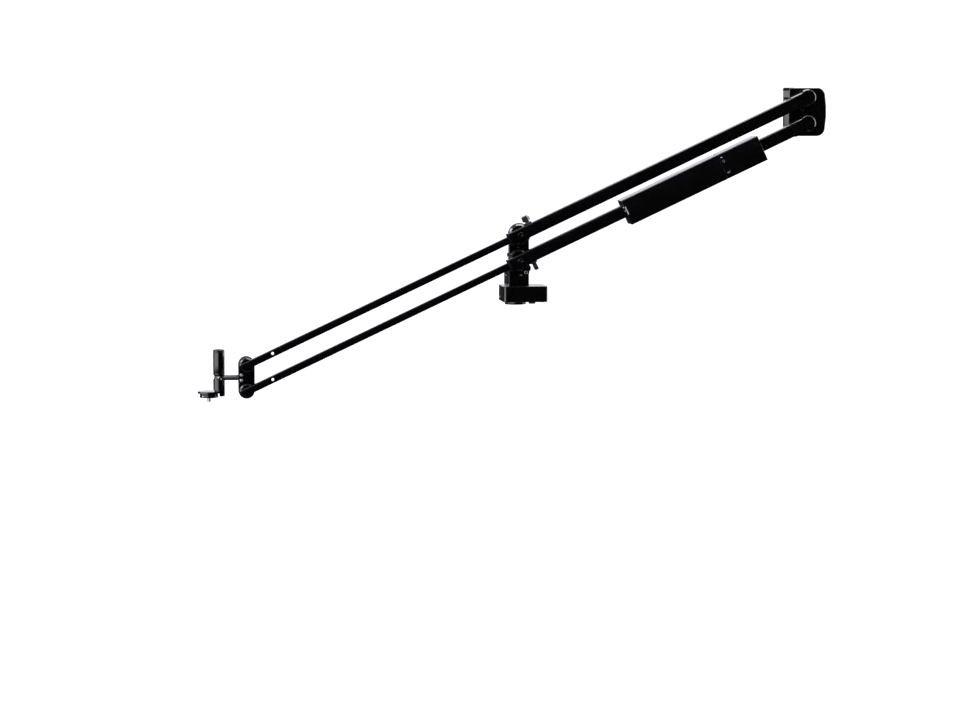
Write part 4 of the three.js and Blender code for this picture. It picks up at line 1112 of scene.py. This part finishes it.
def make_tilt_screw():
    """The tilt lock's long screw: its head is sunk in the shoe and has a bright rounded rim."""
    node = "tilt_lock_screw"
    front, tip = near_face(node), far_face(node)
    rim_middle, rim_half, rim_height = 3.3, 1.05, 0.9
    shank, head, head_height = 3, 4.35, 3
    floor = front + 1.9
    turn = np.radians(np.linspace(180, 0, 9))
    across = rim_middle + rim_half * np.cos(turn)
    rim = np.stack([across, front + rim_height - rim_height * np.sin(turn)], 1)
    profile = [(0, floor), (rim_middle - rim_half, floor), *rim.tolist(), (head, front + head_height)]
    profile += [(shank, front + head_height), (shank, tip), (0, tip)]
    grid = turned_grid(profile, middle(node) * (1, 0, 1), ACROSS, 48, hexagon([1, 2]))
    # The hex socket's walls and floor take the dull black finish, which paints the shade in the socket.
    parts = np.zeros(grid.shape[1] - 1, np.int32)
    parts[:2] = 1
    finishes = [BRIGHT_STEEL, RUBBER]
    add_surface("tilt_screw", grid, finishes, BODY_OF[node], SLOT_OF[node], (node,), parts=parts)


def screw_head(name, node, depth, radius, height, sink, flat):
    """A domed socket head that stands for a CAD screw. It begins a depth behind the near end."""
    place = middle(node) * (1, 0, 1) + ACROSS * (near_face(node) + depth) * MM
    socket_screw(name, place, NEAR, radius, height, BODY_OF[node], sink, (node,), flat)


def make_front_link_details():
    """A plug on the link plate, a bright set screw on it that paints a glint by the lower flange's rim, and the
    heads of its clamp screws and the handle's.
    """
    face = near_face("front_link_plate")
    upper = FRONT_PIVOT + UPPER_PIVOT - LOWER_PIVOT
    low_disc("link_plug", beside(upper, 2.5, -16.5, face), radius=5.0, height=0.8, body="front_link")
    # A small bright set screw by the lower flange's rim paints a glint there.
    place = beside(upper, 13.1, -71.4, face)
    socket_screw("link_glint_screw", place, NEAR, radius=1.7, height=0.7, body="front_link")
    for node in ("upper_clamp_screw", "lower_clamp_screw"):
        screw_head(node + "_head", node, depth=1.6, radius=3.8, height=1.5, sink=1.0, flat=0.6)
    node = "rod_lock_screw"
    screw_head("rod_lock_head", node, depth=1.2, radius=3.6, height=2.4, sink=1.2, flat=0.45)


def make_ring_screw():
    """The set screw of the camera ring, on its side to the left of the camera."""
    way = np.array([-0.707, -0.707, 0.0])
    height = (low_face("camera_ring") + 3.2) * MM
    place = middle("camera_ring") * (1, 1, 0) + UP * height + way * (RING_RADIUS - 0.1) * MM
    socket_screw("ring_set_screw", place, way, radius=2.3, height=0.7, body=BODY_OF["camera_ring"])


def make_weight_details():
    """Latches and screws on the counterweight box, a pale strip on its corner that paints a highlight, and its
    lock knob's cap.
    """
    face = near_face("front_weight_shell")
    body = BODY_OF["front_weight_shell"]
    for name, up, radius in (("top", 17.4, 2.2), ("low", -22.0, 2.0)):
        place = on_arm(LOWER_PIVOT, 531.5, up, face)
        socket_screw(name + "_latch_screw", place, NEAR, radius, 0.9, body)
    for name, along, up, start, end in (
        ("latch_ring", 532.5, 7.5, 0, 350),
        ("latch_hook", 534.0, -20.0, -160, 60),
    ):
        place = on_arm(LOWER_PIVOT, along, up, face)
        wire_arc(name, place, ARM, ARM_UP, 2.6, 0.6, start, end, body, "bare_steel")
    # A pale plastic strip on the box's front-left corner paints the highlight of that corner.
    place = on_arm(LOWER_PIVOT, 275.2, 1.0, face)
    small_plate(
        "box_corner_highlight_strip", place, ARM, ARM_UP, 2.2, 20.0, 0.6, body, "black_plastic", HIGHLIGHT_PLASTIC
    )
    knob_cap("weight_knob_cap", "weight_lock_knob", 6.0)
    for name, up, inset in (("upper", 9.0, 12), ("lower", 0.0, 9)):
        place = on_arm(LOWER_PIVOT, 273.5, up, face + inset)
        socket_screw(name + "_end_screw", place, -ARM, radius=2.4, height=1.8, body=body, flat=0.45)


def make_housing_details():
    """A round pin, a dark lip, a dark strip that paints the upper tube's reflection and another dark strip on the
    rear housing, and its cover's screws.

    The lip follows the upper left corner: out along an arc and back along a closer one.
    """
    body = BODY_OF["rear_housing"]
    low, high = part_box("rear_housing")
    place = beside(REAR_PIVOT, -7.4, 30.0, near_face("rear_housing"))
    low_disc("housing_pin", place, radius=4.5, height=0.6, body=body)
    left, top = low.x / MM, high.z / MM
    corner, over, under = 4, 0.3, 0.2
    bend = (left + corner, top - corner)
    outer = [[left - over, top - 7], *arc(*bend, corner + over, 180, 90, 9), [left + 12, top + over]]
    inner = [[left + 12, top - under], *arc(*bend, corner - under, 90, 180, 9), [left + under, top - 7]]
    steps = [(0, low.y / MM + 0.8), (0, high.y / MM - 0.8)]
    grid = outline_grid(np.array(outer + inner), steps, (0, 0, 0), ALONG, UP, ACROSS)
    add_surface("housing_lip", grid, [RUBBER], body, "black_plastic", caps=True)
    # The upper strip is a dark sheet that paints the upper tube's dark reflection on the left face. The lower one
    # is a dark strip near the face's far edge.
    for name, y, height, long, wide in (
        ("upper_housing_reflection_strip", -12.0, 486.0, 50.0, 6.0),
        ("lower_housing_strip", 12.0, 433.0, 8.0, 22.0),
    ):
        place = np.array([left, y, height]) * MM
        small_plate(name, place, -ACROSS, UP, long, wide, 0.3, body, "black_plastic", RUBBER)
    cover_low, cover_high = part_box("rear_cover")
    for column, x in (("left", cover_low.x / MM + 9), ("right", cover_high.x / MM - 14)):
        for row, z in (("low", cover_low.z / MM + 9), ("top", cover_high.z / MM - 9)):
            place = np.array([x, cover_high.y / MM, z]) * MM
            name = f"cover_{column}_{row}_screw"
            socket_screw(name, place, ACROSS, radius=2.7, height=1.4, body=body)


def make_base_details():
    """Screws under the base, a screw and a bright steel strip that paints a glint on its left faces, and the tilt
    knob's cap.
    """
    low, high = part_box("base_cover")
    body = BODY_OF["base_cover"]
    inset = 7
    for column, x in (("left", low.x / MM + inset), ("right", high.x / MM - inset)):
        for row, y in (("near", low.y / MM + inset), ("far", high.y / MM - inset)):
            place = np.array([x, y, low.z / MM]) * MM
            socket_screw(f"base_{column}_{row}_screw", place, -UP, radius=2.6, height=1.2, body=body)
    place = np.array([left_face("base_housing"), 29.6, 16.0]) * MM
    socket_screw("base_side_screw", place, -ALONG, radius=1.7, height=0.5, body=BODY_OF["base_housing"])
    # A bright steel strip on the block's left face paints a glint.
    place = np.array([left_face("column_block"), 14.0, 68.2]) * MM
    small_plate("block_glint_strip", place, -ACROSS, UP, 22.0, 1.6, 0.5, "pan_head", "satin_steel")
    knob_cap("tilt_knob_cap", "tilt_lock_knob", 7.0)


make_camera()
make_studio()
finish_inner_nodes()
make_skins()
make_key_glint_plates()
make_pivot_hubs()
dull_rims()
make_link_pins()
make_rear_eyes()
make_grip()
make_rod()
make_camera_ring()
make_mount_disc()
make_pan_wheel()
make_column_details()
make_tilt_screw()
make_front_link_details()
make_ring_screw()
make_weight_details()
make_housing_details()
make_base_details()
